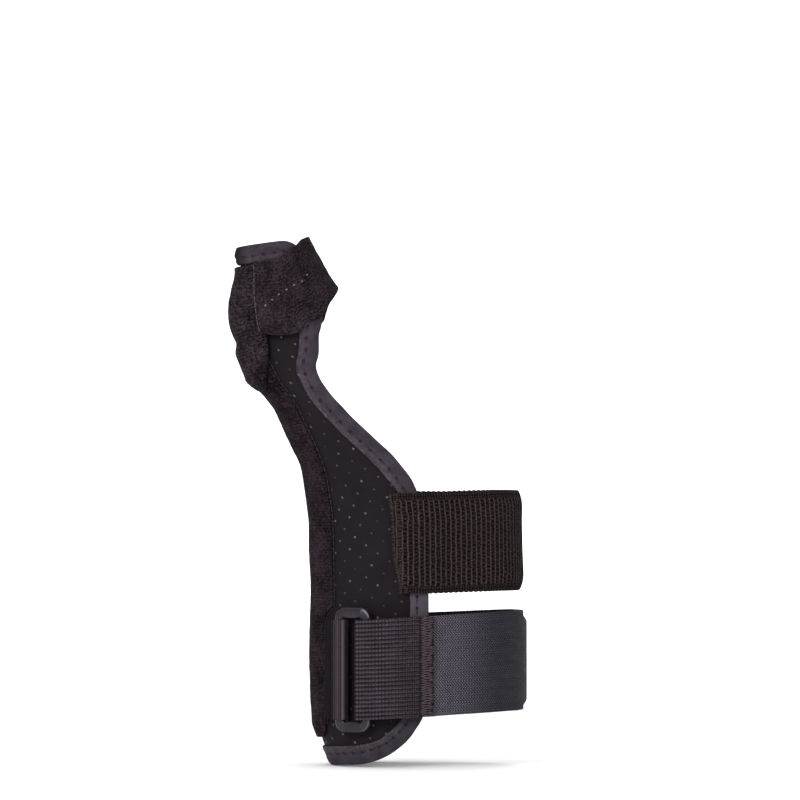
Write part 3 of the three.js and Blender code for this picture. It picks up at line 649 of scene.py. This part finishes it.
panel = cloth("panel_pad", (0.046, PANEL_LENGTH), (54, 168), PAD_CLOTH, 0.0004, on_panel, panel_pile,
              "radial_panel")


def panel_stitches():
    levels = np.linspace(PANEL_BOTTOM + 0.004, PANEL_BOTTOM + PANEL_LENGTH - 0.004, 260)
    both = []
    for side in (1, -1):
        x = side * (length_to(seam_turn(levels), levels) + 0.00035)
        both += along_path(lay(x, levels, ON_SHELL + 0.00012), 0.0026, 0.97)
    return both


panel_thread = sew("panel_stitches", panel_stitches(), 0.00015,
                   thread_finish("faint_thread", (46, 42, 45), (84, 78, 81)))


# The thumb flap
# A piece of the same pile cloth round the outer side of the thumb, over the pad's upper end. Its lower
# corners hang free, and the thumb strap is fastened on it.

FLAP_LENGTH = 0.042
FLAP_BOTTOM = RIM_LEVEL - 0.0066 - FLAP_LENGTH
FLAP_EDGE = np.array([(0.0, 33), (0.1, 43), (0.2, 51), (0.3, 57), (0.45, 62), (0.6, 70), (1.0, 74)]).T
FLAP_THICKNESS = 0.002


def flap_base(turn, level):
    beside = ease((np.abs(turn) - seam_turn(level) - 3) / 14)
    past = ease((level - PANEL_BOTTOM - PANEL_LENGTH) / 0.005)
    return ON_SHELL + (panel_thickness(turn, level) + LAYER_GAP) * (1 - beside) * (1 - past)


def loose(height):
    """0 on a cloth's underside, which keeps its seat, and 1 a little above it."""
    return np.clip(height / 0.0005, 0, 1)


def on_flap(u, v, height):
    turn = through(v, *FLAP_EDGE) * (2 * u - 1)
    drop = 0.004 * (1 - v) * ease(np.abs(turn) / through(0.1, *FLAP_EDGE))
    level = FLAP_BOTTOM + FLAP_LENGTH * v - drop
    flat = np.stack([length_to(turn, level), level, height], -1)
    soft = unevenness(flat, 3, 0.008, 0.00035, 0.00014)
    # It stands off the thumb's knuckle in one soft fold.
    soft += 0.0009 * np.exp(-(((level - 0.0905) / 0.007) ** 2) - (turn / 38) ** 2)
    return above(turn, level, flap_base(turn, level) + height + soft * loose(height)), flat


flap = cloth("flap_cloth", (0.062, FLAP_LENGTH), (66, 46), FLAP_THICKNESS, 0.0007, on_flap, pile,
             "thumb_flap")


# The thumb strap
# A pile strap that is fastened on the flap, crosses the back of the thumb over the bound edge, loops
# round the thumb's inner side and is fastened on the flap again. A slanting seam crosses it.

THUMB_STRAP = np.array([
    (57, 0.832, 0.967), (75, 0.822, 0.968), (86, 0.8215, 0.9695), (92, 0.826, 0.971),
    (95, 0.831, 0.9725), (97.5, 0.8375, 0.974), (100.5, 0.842, 0.976), (106, 0.844, 0.979),
    (113, 0.8435, 0.983), (125, 0.853, 0.99), (140, 0.87, 0.999), (180, 0.889, 1.003),
    (220, 0.87, 0.996), (235, 0.853, 0.989), (247, 0.838, 0.983), (268, 0.831, 0.973),
    (303, 0.822, 0.966),
]).T
THUMB_STRAP_SIZE = (0.088, 0.0255)
THUMB_STRAP_THICKNESS = 0.0018
STRAP_START, STRAP_END = THUMB_STRAP[0][0], THUMB_STRAP[0][-1]
STRAP_SLANT = 4.5
SEAM_ROWS = np.array([
    (69, 0.38), (75.5, 0.436), (83.7, 0.511), (92.5, 0.544), (97.5, 0.522), (102.8, 0.519),
    (113, 0.522), (124, 0.555), (180, 0.57), (236, 0.555), (268, 0.53), (292, 0.42),
]).T


def thumb_strap_base(turn, row):
    over_flap = ON_SHELL + FLAP_THICKNESS + LAYER_GAP
    free = np.minimum(ease((turn - 75) / 9), ease((285 - turn) / 9))
    # Round the thumb's inner side it stands off more at its lower border than at its upper one.
    inner = ease(np.minimum(turn - 135, 225 - turn) / 30)
    return over_flap + (0.0044 - over_flap) * free + (0.001 - 0.0021 * row) * inner


def on_thumb(turn, row, height):
    low, high = (through(turn, THUMB_STRAP[0], border) for border in THUMB_STRAP[1:])
    level = HEEL_LEVEL + (low + (high - low) * row) * SPLINT_LENGTH
    return above(turn, level, thumb_strap_base(turn, row) + height)


def on_thumb_strap(u, v, height):
    start = STRAP_START + STRAP_SLANT * v
    turn = start + (STRAP_END - start) * u
    flat = np.stack([u * THUMB_STRAP_SIZE[0], v * THUMB_STRAP_SIZE[1], height], -1)
    soft = unevenness(flat, 5, 0.009, 0.00025, 0.00013)
    return on_thumb(turn, v, height + soft * loose(height)), flat


thumb_strap = cloth("thumb_strap_cloth", THUMB_STRAP_SIZE, (96, 32), THUMB_STRAP_THICKNESS, 0.0006,
                    on_thumb_strap, pile_finish("strap_pile", (16, 11, 14), (59, 50, 57)),
                    "thumb_strap")


def thumb_seam():
    both = []
    for start, end in ((69, 133), (228, 292)):
        turns = np.linspace(start, end, 80)
        points = on_thumb(turns, through(turns, *SEAM_ROWS), THUMB_STRAP_THICKNESS + 0.0001)
        both += along_path(points, 0.0035, 0.3)
    return both


thumb_seam_thread = sew("thumb_seam", thumb_seam(), 0.00031,
                        thread_finish("light_thread", (84, 78, 84), (132, 124, 128)))


def thumb_end_seam():
    rows = np.linspace(0.03, 0.97, 60)
    turns = STRAP_START + 0.7 + STRAP_SLANT * rows
    return along_path(on_thumb(turns, rows, THUMB_STRAP_THICKNESS + 0.00002), 0.0023, 0.97)


thumb_end_thread = sew("thumb_end_seam", thumb_end_seam(), 0.00017,
                       thread_finish("grey_thread", (60, 57, 62), (103, 98, 106)))


# The wrist strap
# A black ribbed elastic, 38 mm wide, that closes the wrist. It is sewn to the shell on the palm side
# and pressed on at the back, where its slanting end is oversewn and a little ragged.

ELASTIC_WIDTH = 0.038
ELASTIC_THICKNESS = 0.0018
RIB_PITCH = 2.04


def strap_base(length, level):
    """The height at which a strap lies: on the shell, over the bound edge, and on the skin past it."""
    past_edge = folded_back(length, half_girth(level)) - length_to(limb("edge", level), level)
    climb = ease((past_edge + 0.0132) / 0.003)
    fall = ease((past_edge - 0.0015) / 0.01)
    on = ON_SHELL + 0.001 * climb
    return on + (0.0006 - on) * fall


def elastic_finish():
    finish = Finish("elastic", {"Specular IOR Level": 0.05, "Roughness": 0.9})
    x, y, _ = finish.pattern()
    wander = finish.grain(0.35)
    fine = finish.grain(3.0)
    slack = (wander - 0.5) * 0.9 + (fine - 0.5) * 0.3
    rib = (x + slack).wave(RIB_PITCH) ** 4.0
    between = (x + slack).wave(RIB_PITCH, math.pi) ** 1.5
    odd = ((x / RIB_PITCH / 2).remainder() - 0.5).step(-0.02, 0.02)
    loop = (y + odd * 0.75 + (wander - 0.5) * 2.2 + (fine - 0.5) * 0.4).wave(1.5)
    twist = (y + (fine - 0.5) * 0.5).wave(1.05)
    yarn = 0.22 + rib * (0.46 + twist * 0.3) + between * ((loop - 0.5) * 0.7)
    # Both long edges end in a finer selvedge, with a faint furrow beside it.
    middle = ELASTIC_WIDTH * 1000 / 2
    from_edge = middle - abs(y - middle)
    selvedge = 1 - from_edge.step(2.3, 3.3)
    furrow = from_edge.step(0.9, 1.2) * (1 - from_edge.step(1.5, 2.0))
    close = 0.2 + (x + slack * 0.4).wave(RIB_PITCH / 2) * (0.16 + y.wave(0.9) * 0.3)
    woven = yarn * (1 - selvedge) + close * selvedge - furrow * 0.12
    tone = (woven + (fine - 0.5) * 1.3).step(0.03, 1.48)
    return finish.made(finish.mix(tone, (7, 4, 5), (84, 73, 71)), woven * 0.3 + fine * 0.2)


def on_wrist(length, share, height):
    level = ELASTIC_WIDTH * (share - 0.5)
    points = lay(length, level, strap_base(length, level) + height)
    points[:, 2] += 0.0008 * ease(points[:, 0] / (WRIST_BREADTH / 2))
    # Its two borders hug the wrist where it turns round the little finger's side.
    border = np.clip((np.abs(2 * share - 1) - 0.68) / 0.32, 0, 1) ** 2
    points[:, 0] -= 0.0016 * border * ease((points[:, 0] - 0.026) / 0.01)
    return points


WRIST_STRAP_START = np.array([
    (0, 0.0033), (0.17, 0.0024), (0.41, 0.00085), (0.65, 0.00045), (1, 0.00035),
]).T


def wrist_ends(share):
    level = ELASTIC_WIDTH * (share - 0.5)
    start = length_to(78, level) + through(share, *WRIST_STRAP_START)
    return start, 2 * half_girth(level) - length_to(80, level)


def on_wrist_strap(u, v, height):
    start, end = wrist_ends(v)
    ragged = lumps(np.stack([ELASTIC_WIDTH * v, v * 0, v * 0], -1), 0.0016, 8) * 0.0004
    length = start + ragged + (end - start - ragged) * u
    flat = np.stack([length, ELASTIC_WIDTH * v, height], -1)
    ribs = 0.00012 * np.cos(2 * math.pi * (length * 1000 / RIB_PITCH - 0.25))
    soft = lumps(flat, 0.006, 7) * 0.0001 + ribs - 0.00008
    # Small loops stand out along both long edges, one at each rib.
    picot = np.clip(np.abs(2 * v - 1) - 0.96, 0, 0.04) / 0.04 * np.sign(2 * v - 1)
    share = v + picot * 1.3 * ribs / ELASTIC_WIDTH
    return on_wrist(length, share, height + soft * loose(height)), flat


wrist_strap = cloth("wrist_elastic", (0.139, ELASTIC_WIDTH), (330, 70), ELASTIC_THICKNESS, 0.0004,
                    on_wrist_strap, elastic_finish(), "wrist_strap")


def wrist_end_threads():
    """The thread oversewn round the strap's end, and the yarn ends that stick out of it."""
    chance = np.random.default_rng(11)
    stitches = []
    for share in np.arange(0.008, 0.995, 0.0131):
        at = np.array([share])
        start = wrist_ends(at)[0]
        reach = chance.uniform(0.0018, 0.0031)
        up = chance.uniform(-0.008, 0.012)
        stitches.append(np.concatenate([
            on_wrist(start + reach, at + up, ELASTIC_THICKNESS + 0.00006),
            on_wrist(start - 0.0004, at, ELASTIC_THICKNESS - 0.0004),
        ]))
        for _ in range(2):
            out = chance.uniform(0.0005, 0.0015)
            bend = chance.uniform(-0.02, 0.02)
            stitches.append(np.concatenate([
                on_wrist(start + 0.0002, at, 0.0009),
                on_wrist(start - out, np.clip(at + bend, 0, 1), chance.uniform(0.0001, 0.0008)),
            ]))
    return stitches


wrist_end_sewing = sew("wrist_end_threads", wrist_end_threads(), 0.00014,
                       thread_finish("brown_thread", (30, 23, 22), (84, 72, 70)))


# The ring
# A moulded black plastic loop with rounded corners and bars, a little shiny. It stands in the fold of
# its tape and turns the forearm strap back on itself.

WEBBING_WIDTH = 0.038
WEBBING_THICKNESS = 0.0016
RING_TURN = 54.5
RING_WIDTH = 0.0147
RING_BAR = 0.0038
RING_HALF_SLOT = WEBBING_WIDTH / 2 + LAYER_GAP
RING_END = 0.0042
RING_CORNER = 0.004
RING_THICKNESS = 0.003
RING_BASE = ON_SHELL + WEBBING_THICKNESS + LAYER_GAP
ring_origin = above(RING_TURN, WEBBING_LEVEL, RING_BASE)
ring_out = above(RING_TURN, WEBBING_LEVEL, 2 * RING_BASE) - ring_origin
ring_out[2] = 0
ring_out /= np.linalg.norm(ring_out)
ring_along = np.array([-ring_out[1], ring_out[0], 0])


def near_ring(u, w):
    """A point by the ring, u along its face and w out from its underside, seen along the forearm."""
    u, w = np.asarray(u, float), np.asarray(w, float)
    return (ring_origin + u[..., None] * ring_along + w[..., None] * ring_out)[..., :2]


def webbing_rise(x):
    """How much the forearm strap rises on its way to the little finger's side. It starts at the ring."""
    return 0.0031 * np.clip((x - ring_origin[0]) / (WRIST_BREADTH / 2 - ring_origin[0]), 0, 1)


def plastic_finish():
    finish = Finish("plastic", {"Specular IOR Level": 0.42})
    x, y, z = finish.pattern()
    fine = finish.grain(5.2)
    wear_and_sheen = finish.grain(0.42, 3.0, 0.6)
    face = finish.mix(wear_and_sheen, (16, 8, 18), (36, 26, 39))
    # A painted highlight: a thin bright arc along the rims of the two corners that the webbing rubs
    # against.
    beyond_x = (x - (RING_WIDTH / 2 - RING_CORNER) * 1000).most(0)
    beyond_y = (abs(y) - (RING_HALF_SLOT + RING_END - RING_CORNER) * 1000).most(0)
    off_rim = abs((beyond_x * beyond_x + beyond_y * beyond_y).root() - 3.55)
    upper = y.step(-1, 1)
    at_corner = beyond_x.step(0.3, 1.6) * (upper * beyond_y.step(0.0, 0.7) + (1 - upper) * 0.5)
    painted_highlight = (1 - off_rim.step(0.04, 0.26)) * at_corner * z.step(1.4, 2.2)
    return finish.made(finish.mix(painted_highlight, face, (118, 113, 117)),
                       fine * 0.5 + wear_and_sheen, 0.2 + wear_and_sheen * 0.16, 0.03)


def ring():
    outer_x, inner_x = RING_WIDTH / 2, RING_WIDTH / 2 - RING_BAR
    outer_y = RING_HALF_SLOT + RING_END
    across = (-outer_x, -inner_x, inner_x, outer_x)
    along = (-outer_y, -RING_HALF_SLOT, RING_HALF_SLOT, outer_y)
    bm = bmesh.new()
    bmesh.ops.create_grid(bm, x_segments=3, y_segments=3, size=0.5)
    for vertex in bm.verts:
        i, j = (int(round((c + 0.5) * 3)) for c in vertex.co[:2])
        vertex.co = (across[i], along[j], 0)
    slot = [f for f in bm.faces if f.calc_center_median().length < 0.001]
    bmesh.ops.delete(bm, geom=slot, context="FACES_ONLY")
    bmesh.ops.solidify(bm, geom=bm.faces[:], thickness=RING_THICKNESS)
    low = min(v.co.z for v in bm.verts)
    bmesh.ops.translate(bm, verts=bm.verts[:], vec=(0, 0, -low))
    bm.normal_update()
    upright = [e for e in bm.edges if abs(e.verts[0].co.z - e.verts[1].co.z) > 0.001]
    outer = [e for e in upright if abs(abs(e.verts[0].co.x) - outer_x) < 1e-5
             and abs(abs(e.verts[0].co.y) - outer_y) < 1e-5]
    inner = [e for e in upright if abs(abs(e.verts[0].co.x) - inner_x) < 1e-5
             and abs(abs(e.verts[0].co.y) - RING_HALF_SLOT) < 1e-5]
    for corners, radius in ((outer, RING_CORNER), (inner, 0.0008)):
        round_off(bm, corners, radius, 8)
    round_off(bm, rim_edges(bm), 0.0012, 5)
    flat = [v.co.copy() for v in bm.verts]
    mould(bm, flat, flat)
    turn = Matrix((ring_along, (0, 0, 1), ring_out)).transposed().to_4x4()
    bmesh.ops.transform(bm, matrix=Matrix.Translation(ring_origin) @ turn, verts=bm.verts[:])
    return shown(bm, "ring", plastic_finish(), "strap_ring")


ring_piece = ring()


# The ring's tape
# A short black tape that is sewn down beside the pad and folded round the ring's bar. Fine ribs run
# along the forearm in it.

TAPE_WIDTH = 0.038
TAPE_THICKNESS = 0.0006


def fold_round(u, w, radius, start, end, steps):
    angle = np.radians(np.linspace(start, end, steps + 1))
    return near_ring(u + radius * np.cos(angle), w + radius * np.sin(angle))


def smooth_path(points, spacing=0.0004):
    """A path across the forearm in even small steps, with the directions to its outer side."""
    lengths = lengths_along(points)
    stations = np.linspace(0, lengths[-1], int(lengths[-1] / spacing) + 1)
    even = np.stack([through(stations, lengths, points[:, k]) for k in (0, 1)], -1)
    along = np.gradient(even, axis=0)
    along /= np.linalg.norm(along, axis=1, keepdims=True)
    return even, np.stack([-along[:, 1], along[:, 0]], -1), stations


def on_path(path, u, v, height, thickness, width):
    """Places a strap that follows a path. Height 0 is its inner face."""
    even, side, stations = path
    at = u * stations[-1]
    x, y, nx, ny = (np.interp(at, stations, column) for column in (*even.T, *side.T))
    shift = thickness / 2 - height
    points = np.stack([x + nx * shift, y + ny * shift, WEBBING_LEVEL + width * (v - 0.5)], -1)
    return points, np.stack([at, width * v, height], -1)


def tape_finish(near_crease, far_crease):
    finish = Finish("tape", {"Specular IOR Level": 0.1, "Roughness": 0.7})
    x, y, _ = finish.pattern()
    fine = finish.grain(2.2)
    rib = (x + fine * 0.25).wave(0.78) * 0.6 + x.wave(2.3) * 0.4
    pick = y.wave(0.5)
    face = finish.mix((rib * 0.75 + (fine - 0.5) * 0.5 + pick * 0.1).step(-0.1, 1.1),
                      (23, 18, 22), (74, 66, 72))
    # Painted shade darkens it past the bar, where it is sewn down, and a painted highlight lightens it
    # along the bar's other side.
    painted_shade = x.step(far_crease - 0.4, far_crease + 0.3)
    wear_and_highlight = 1 - abs(x - near_crease + 0.1).step(0.04, 0.34)
    highlit_face = finish.mix(wear_and_highlight * 0.4, face, (98, 90, 94))
    return finish.made(finish.mix(painted_shade * 0.97, highlit_face, (8, 3, 6)),
                       rib * 0.16 + pick * 0.04 + fine * 0.06)


def tape_path():
    half = TAPE_THICKNESS / 2
    radius = LAYER_GAP + half
    inner, outer = -RING_WIDTH / 2 + RING_BAR, -RING_WIDTH / 2
    seam_length = length_to(seam_turn(WEBBING_LEVEL), WEBBING_LEVEL) + 0.0007
    bar_length = length_to(RING_TURN, WEBBING_LEVEL) - RING_WIDTH / 2 - radius - half
    turns = turn_at(np.linspace(seam_length, bar_length, 4), WEBBING_LEVEL)
    points = np.concatenate([
        above(turns, WEBBING_LEVEL, ON_SHELL + half)[:, :2],
        fold_round(inner, 0, radius, -90, 0, 6),
        fold_round(inner, RING_THICKNESS, radius, 0, 90, 6),
        fold_round(outer, RING_THICKNESS, radius, 90, 150, 4),
        above(turns[::-1], WEBBING_LEVEL, ON_SHELL + half + TAPE_THICKNESS + LAYER_GAP)[:, :2],
    ])
    # The tape is flat on the bar between the last point of the second fold and the first of the third.
    creases = (float(length) * 1000 for length in lengths_along(points)[17:19])
    return smooth_path(points, 0.0002), *creases


tape_route, near_crease, far_crease = tape_path()


def on_tape(u, v, height):
    return on_path(tape_route, u, v, height, TAPE_THICKNESS, TAPE_WIDTH)


ring_tape = cloth("ring_tape_cloth", (tape_route[2][-1], TAPE_WIDTH), (110, 40), TAPE_THICKNESS, 0.0002,
                  on_tape, tape_finish(near_crease, far_crease), "ring_tape")


# The forearm strap
# Black webbing, 38 mm wide, in a coarse plain weave. It is sewn to the palm side, goes round the forearm,
# under the ring's bar and back over it, and ends in a zigzag seam on the hook tab.

TAB_THICKNESS = 0.0012
forearm_half = half_girth(WEBBING_LEVEL)
forearm_edge = length_to(limb("edge", WEBBING_LEVEL), WEBBING_LEVEL)
TAB_START = forearm_edge - 0.0021


def tab_base(length):
    return strap_base(length, WEBBING_LEVEL) + WEBBING_THICKNESS + LAYER_GAP


def on_tab_base(length):
    return tab_base(length) + TAB_THICKNESS + LAYER_GAP


def webbing_path():
    half = WEBBING_THICKNESS / 2
    turn = LAYER_GAP + half
    inner, outer = RING_WIDTH / 2 - RING_BAR, RING_WIDTH / 2
    end = length_to(RING_TURN, WEBBING_LEVEL) + outer
    lower = np.linspace(2 * forearm_half - forearm_edge + 0.012, end, 60)
    leave = RING_BASE + RING_THICKNESS + turn + RING_BAR / 6
    upper = np.linspace(end, TAB_START + 0.0046, 9)[1:]
    share = ease((upper - end) / (TAB_START - 0.0004 - end))
    height = leave + (on_tab_base(TAB_START) + half - leave) * share
    return smooth_path(np.concatenate([
        lay(lower, WEBBING_LEVEL, strap_base(lower, WEBBING_LEVEL) + half)[:, :2],
        fold_round(inner, 0, turn, 270, 180, 6),
        fold_round(inner, RING_THICKNESS, turn, 180, 90, 6),
        near_ring([outer], [RING_THICKNESS + turn]),
        lay(upper, WEBBING_LEVEL, np.maximum(height, on_tab_base(upper) + half))[:, :2],
    ]))


webbing_route = webbing_path()
webbing_length = webbing_route[2][-1]


def webbing_finish(whole):
    finish = Finish("webbing", {"Specular IOR Level": 0.08, "Roughness": 0.75})
    x, y, _ = finish.pattern()
    fine = finish.grain(2.6)
    cloudy = finish.grain(0.2)
    wander = finish.grain(0.5)
    shifted = y + (wander - 0.5) * 0.35 + (fine - 0.5) * 0.22
    warp = (x + (wander - 0.5) * 0.3).wave(1.26)
    weft = shifted.wave(1.6)
    half_pick = shifted.wave(0.8)
    coarse = weft * (0.4 + 0.6 * warp) + half_pick * 0.14 + warp * 0.06
    # The weave is pulled tighter and finer towards the sewn end.
    tight = x.step(whole - 20, whole - 9) * 0.8
    closer = half_pick * (0.15 + 0.85 * (x + (wander - 0.5) * 0.3).wave(0.88)) + weft * 0.22
    yarn = coarse * (1 - tight) + closer * tight
    tone = (yarn + (fine - 0.5) * (0.8 + tight * 0.5) + (cloudy - 0.5) * 0.4).step(-0.05, 1.28)
    # Painted shade: the webbing's last 5.5 mm, under the zigzag seam, is darkened so that it shows dark
    # between the threads.
    edge = x.step(whole - 5.7, whole - 5.2)
    face = finish.mix(tone, (20, 14, 19), (82, 74, 83))
    return finish.made(finish.mix(edge * 0.75, face, (16, 10, 14)), yarn * 0.5 + fine * 0.12)


def on_webbing(u, v, height):
    points, flat = on_path(webbing_route, u, v, WEBBING_THICKNESS - height, WEBBING_THICKNESS,
                           WEBBING_WIDTH)
    # A few loops of the weft stand out along the upper edge near the sewn end.
    frayed = ease((flat[:, 0] - webbing_length + 0.017) / 0.002) * (v > 0.985)
    loops = np.clip(lumps(flat * (1, 0, 0), 0.0011, 9), -0.2, 1) * 0.0007
    points[:, 2] += webbing_rise(points[:, 0]) + frayed * loops
    return points, flat


forearm_strap = cloth("forearm_webbing", (webbing_length, WEBBING_WIDTH), (420, 36), WEBBING_THICKNESS,
                      0.0004, on_webbing, webbing_finish(webbing_length * 1000), "forearm_strap")


# The hook tab
# A stiff woven tab with cut corners, grey twill outside and hooks inside. It runs on from the webbing
# round the little finger's side, and its hooks hold on the strap's lower layer.

TAB_LENGTH = 0.05
TAB_CORNER_LENGTH = 0.009
TAB_CORNER_WIDTH = 0.004


def twill_finish():
    finish = Finish("twill", {"Specular IOR Level": 0.12, "Roughness": 0.6})
    x, y, _ = finish.pattern()
    fine = finish.grain(2.4)
    cloudy = finish.grain(0.25)
    lean = abs((y / 3.2).remainder() - 0.5) * 2
    diagonal = (x + lean * 1.6 + (fine - 0.5) * 0.3).wave(1.05)
    picks = y.wave(0.9)
    tone = (diagonal * (0.45 + picks * 0.4) + (fine - 0.5) * 0.8 + (cloudy - 0.5) * 0.3).step(-0.05, 0.85)
    # Painted sheen: the tab is coloured lighter next to the seam, where the light catches it, and darker
    # towards its far end.
    wear_and_sheen = 1 - (x + (cloudy - 0.5) * 6).step(6, 32)
    low = finish.mix(wear_and_sheen, (12, 11, 14), (34, 31, 38))
    high = finish.mix(wear_and_sheen, (60, 60, 69), (108, 102, 114))
    return finish.made(finish.mix(tone, low, high), diagonal * 0.22 + picks * 0.1 + fine * 0.06)


def on_tab(u, v, height):
    span = TAB_LENGTH * u
    cut = np.clip((span - (TAB_LENGTH - TAB_CORNER_LENGTH)) / TAB_CORNER_LENGTH, 0, 1)
    width = WEBBING_WIDTH - 2 * TAB_CORNER_WIDTH * cut
    length = TAB_START + span
    points = lay(length, WEBBING_LEVEL, tab_base(length) + height)
    points[:, 2] = WEBBING_LEVEL + width * (v - 0.5) + webbing_rise(points[:, 0])
    return points, np.stack([span, WEBBING_WIDTH * v, height], -1)


hook_tab = cloth("tab_cloth", (TAB_LENGTH, WEBBING_WIDTH), (100, 40), TAB_THICKNESS, 0.0003, on_tab,
                 twill_finish(), "hook_tab")


def strap_end_threads():
    """The dense zigzag that sews the webbing's end on the tab, a little wavy at its outer border."""
    chance = np.random.default_rng(5)
    count = 40
    stitches = []
    for i in range(count):
        share = (i + 0.5) / count
        inner = TAB_START - 0.0003 + chance.uniform(-0.0003, 0.0002)
        outer = TAB_START + 0.0047 + 0.0005 * math.sin(share * 40) + chance.uniform(-0.0004, 0.0005)
        ends = np.array([inner, outer])
        for slant in (-0.5, 0.5):
            slant += chance.uniform(-0.25, 0.25)
            shares = share + np.array([-slant, slant]) / count
            points = lay(ends, WEBBING_LEVEL, on_tab_base(ends) + WEBBING_THICKNESS + 0.00012)
            points[:, 2] = WEBBING_LEVEL + WEBBING_WIDTH * (np.clip(shares, 0, 1) - 0.5)
            points[:, 2] += webbing_rise(points[:, 0])
            stitches.append(points)
    return stitches


strap_end_sewing = sew("strap_end_threads", strap_end_threads(), 0.00023,
                       thread_finish("band_thread", (30, 22, 26), (98, 84, 90)))


# The studio
# A pale sweep behind and under the splint, soft light from the front and both sides, and a camera at
# the height of the splint's middle, looking straight at the back of the hand.

def studio():
    bm = bmesh.new()
    bmesh.ops.create_grid(bm, x_segments=1, y_segments=1, size=3)
    bmesh.ops.translate(bm, verts=bm.verts[:], vec=(0, 1.2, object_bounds()[0].z - 0.0002))
    back = [e for e in bm.edges if all(v.co.y > 4 for v in e.verts)]
    raised = bmesh.ops.extrude_edge_only(bm, edges=back)["geom"]
    corners = [v for v in raised if isinstance(v, bmesh.types.BMVert)]
    bmesh.ops.translate(bm, verts=corners, vec=(0, 0, 4))
    fold = [e for e in bm.edges if all(v.co.y > 4 and v.co.z < 1 for v in e.verts)]
    round_off(bm, fold, 1.2, 16)
    finish = Finish("sweep", {"Roughness": 0.9})
    finish.place = finish.node("TexCoord", output=3)
    paper = finish.mix(finish.grain(2.0), (246, 246, 247), (250, 250, 251))
    finish.drive("Base Color", paper)
    sweep = placed_mesh(bm, "sweep", finish.material)
    sweep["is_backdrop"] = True


studio()

# The last light has the back of the sweep to itself, and keeps it as white as the floor.
SPLINT_MIDDLE = (0, 0, 0.02)
for name, place, aim, size, power in (
    ("front_light", (-1.3, -2.4, 1.2), SPLINT_MIDDLE, 1.0, 46),
    ("side_light", (1.5, -1.9, 1.1), SPLINT_MIDDLE, 0.5, 8),
    ("top_light", (0.0, 0.3, 2.2), SPLINT_MIDDLE, 2.0, 30),
    ("back_light", (0, 2.6, 2.4), (0, 5.2, 0.4), 2.5, 90),
):
    lamp = bpy.data.lights.new(name, "AREA")
    lamp.size = size
    lamp.energy = power
    light = placed(name, lamp)
    light.location = place
    light.rotation_euler = (Vector(aim) - Vector(place)).to_track_quat("-Z", "Y").to_euler()

world = bpy.data.worlds.new("studio")
world.use_nodes = True
world.node_tree.nodes["Background"].inputs["Color"].default_value = (1, 1, 1, 1)
world.node_tree.nodes["Background"].inputs["Strength"].default_value = 0.55
bpy.context.scene.world = world
bpy.context.scene.view_settings.view_transform = "Standard"

CAMERA_DISTANCE = 3.2
CAMERA_FOCUS = -0.02
FRAME_WIDTH = 0.304
camera = placed("camera", bpy.data.cameras.new("camera"))
camera.data.sensor_width = 36
camera.data.lens = 36 * CAMERA_DISTANCE / FRAME_WIDTH
camera.data.clip_end = 30
camera.location = (-0.00684, CAMERA_FOCUS - CAMERA_DISTANCE, 0.05434)
camera.rotation_euler = (math.pi / 2, 0, 0)
bpy.context.scene.camera = camera
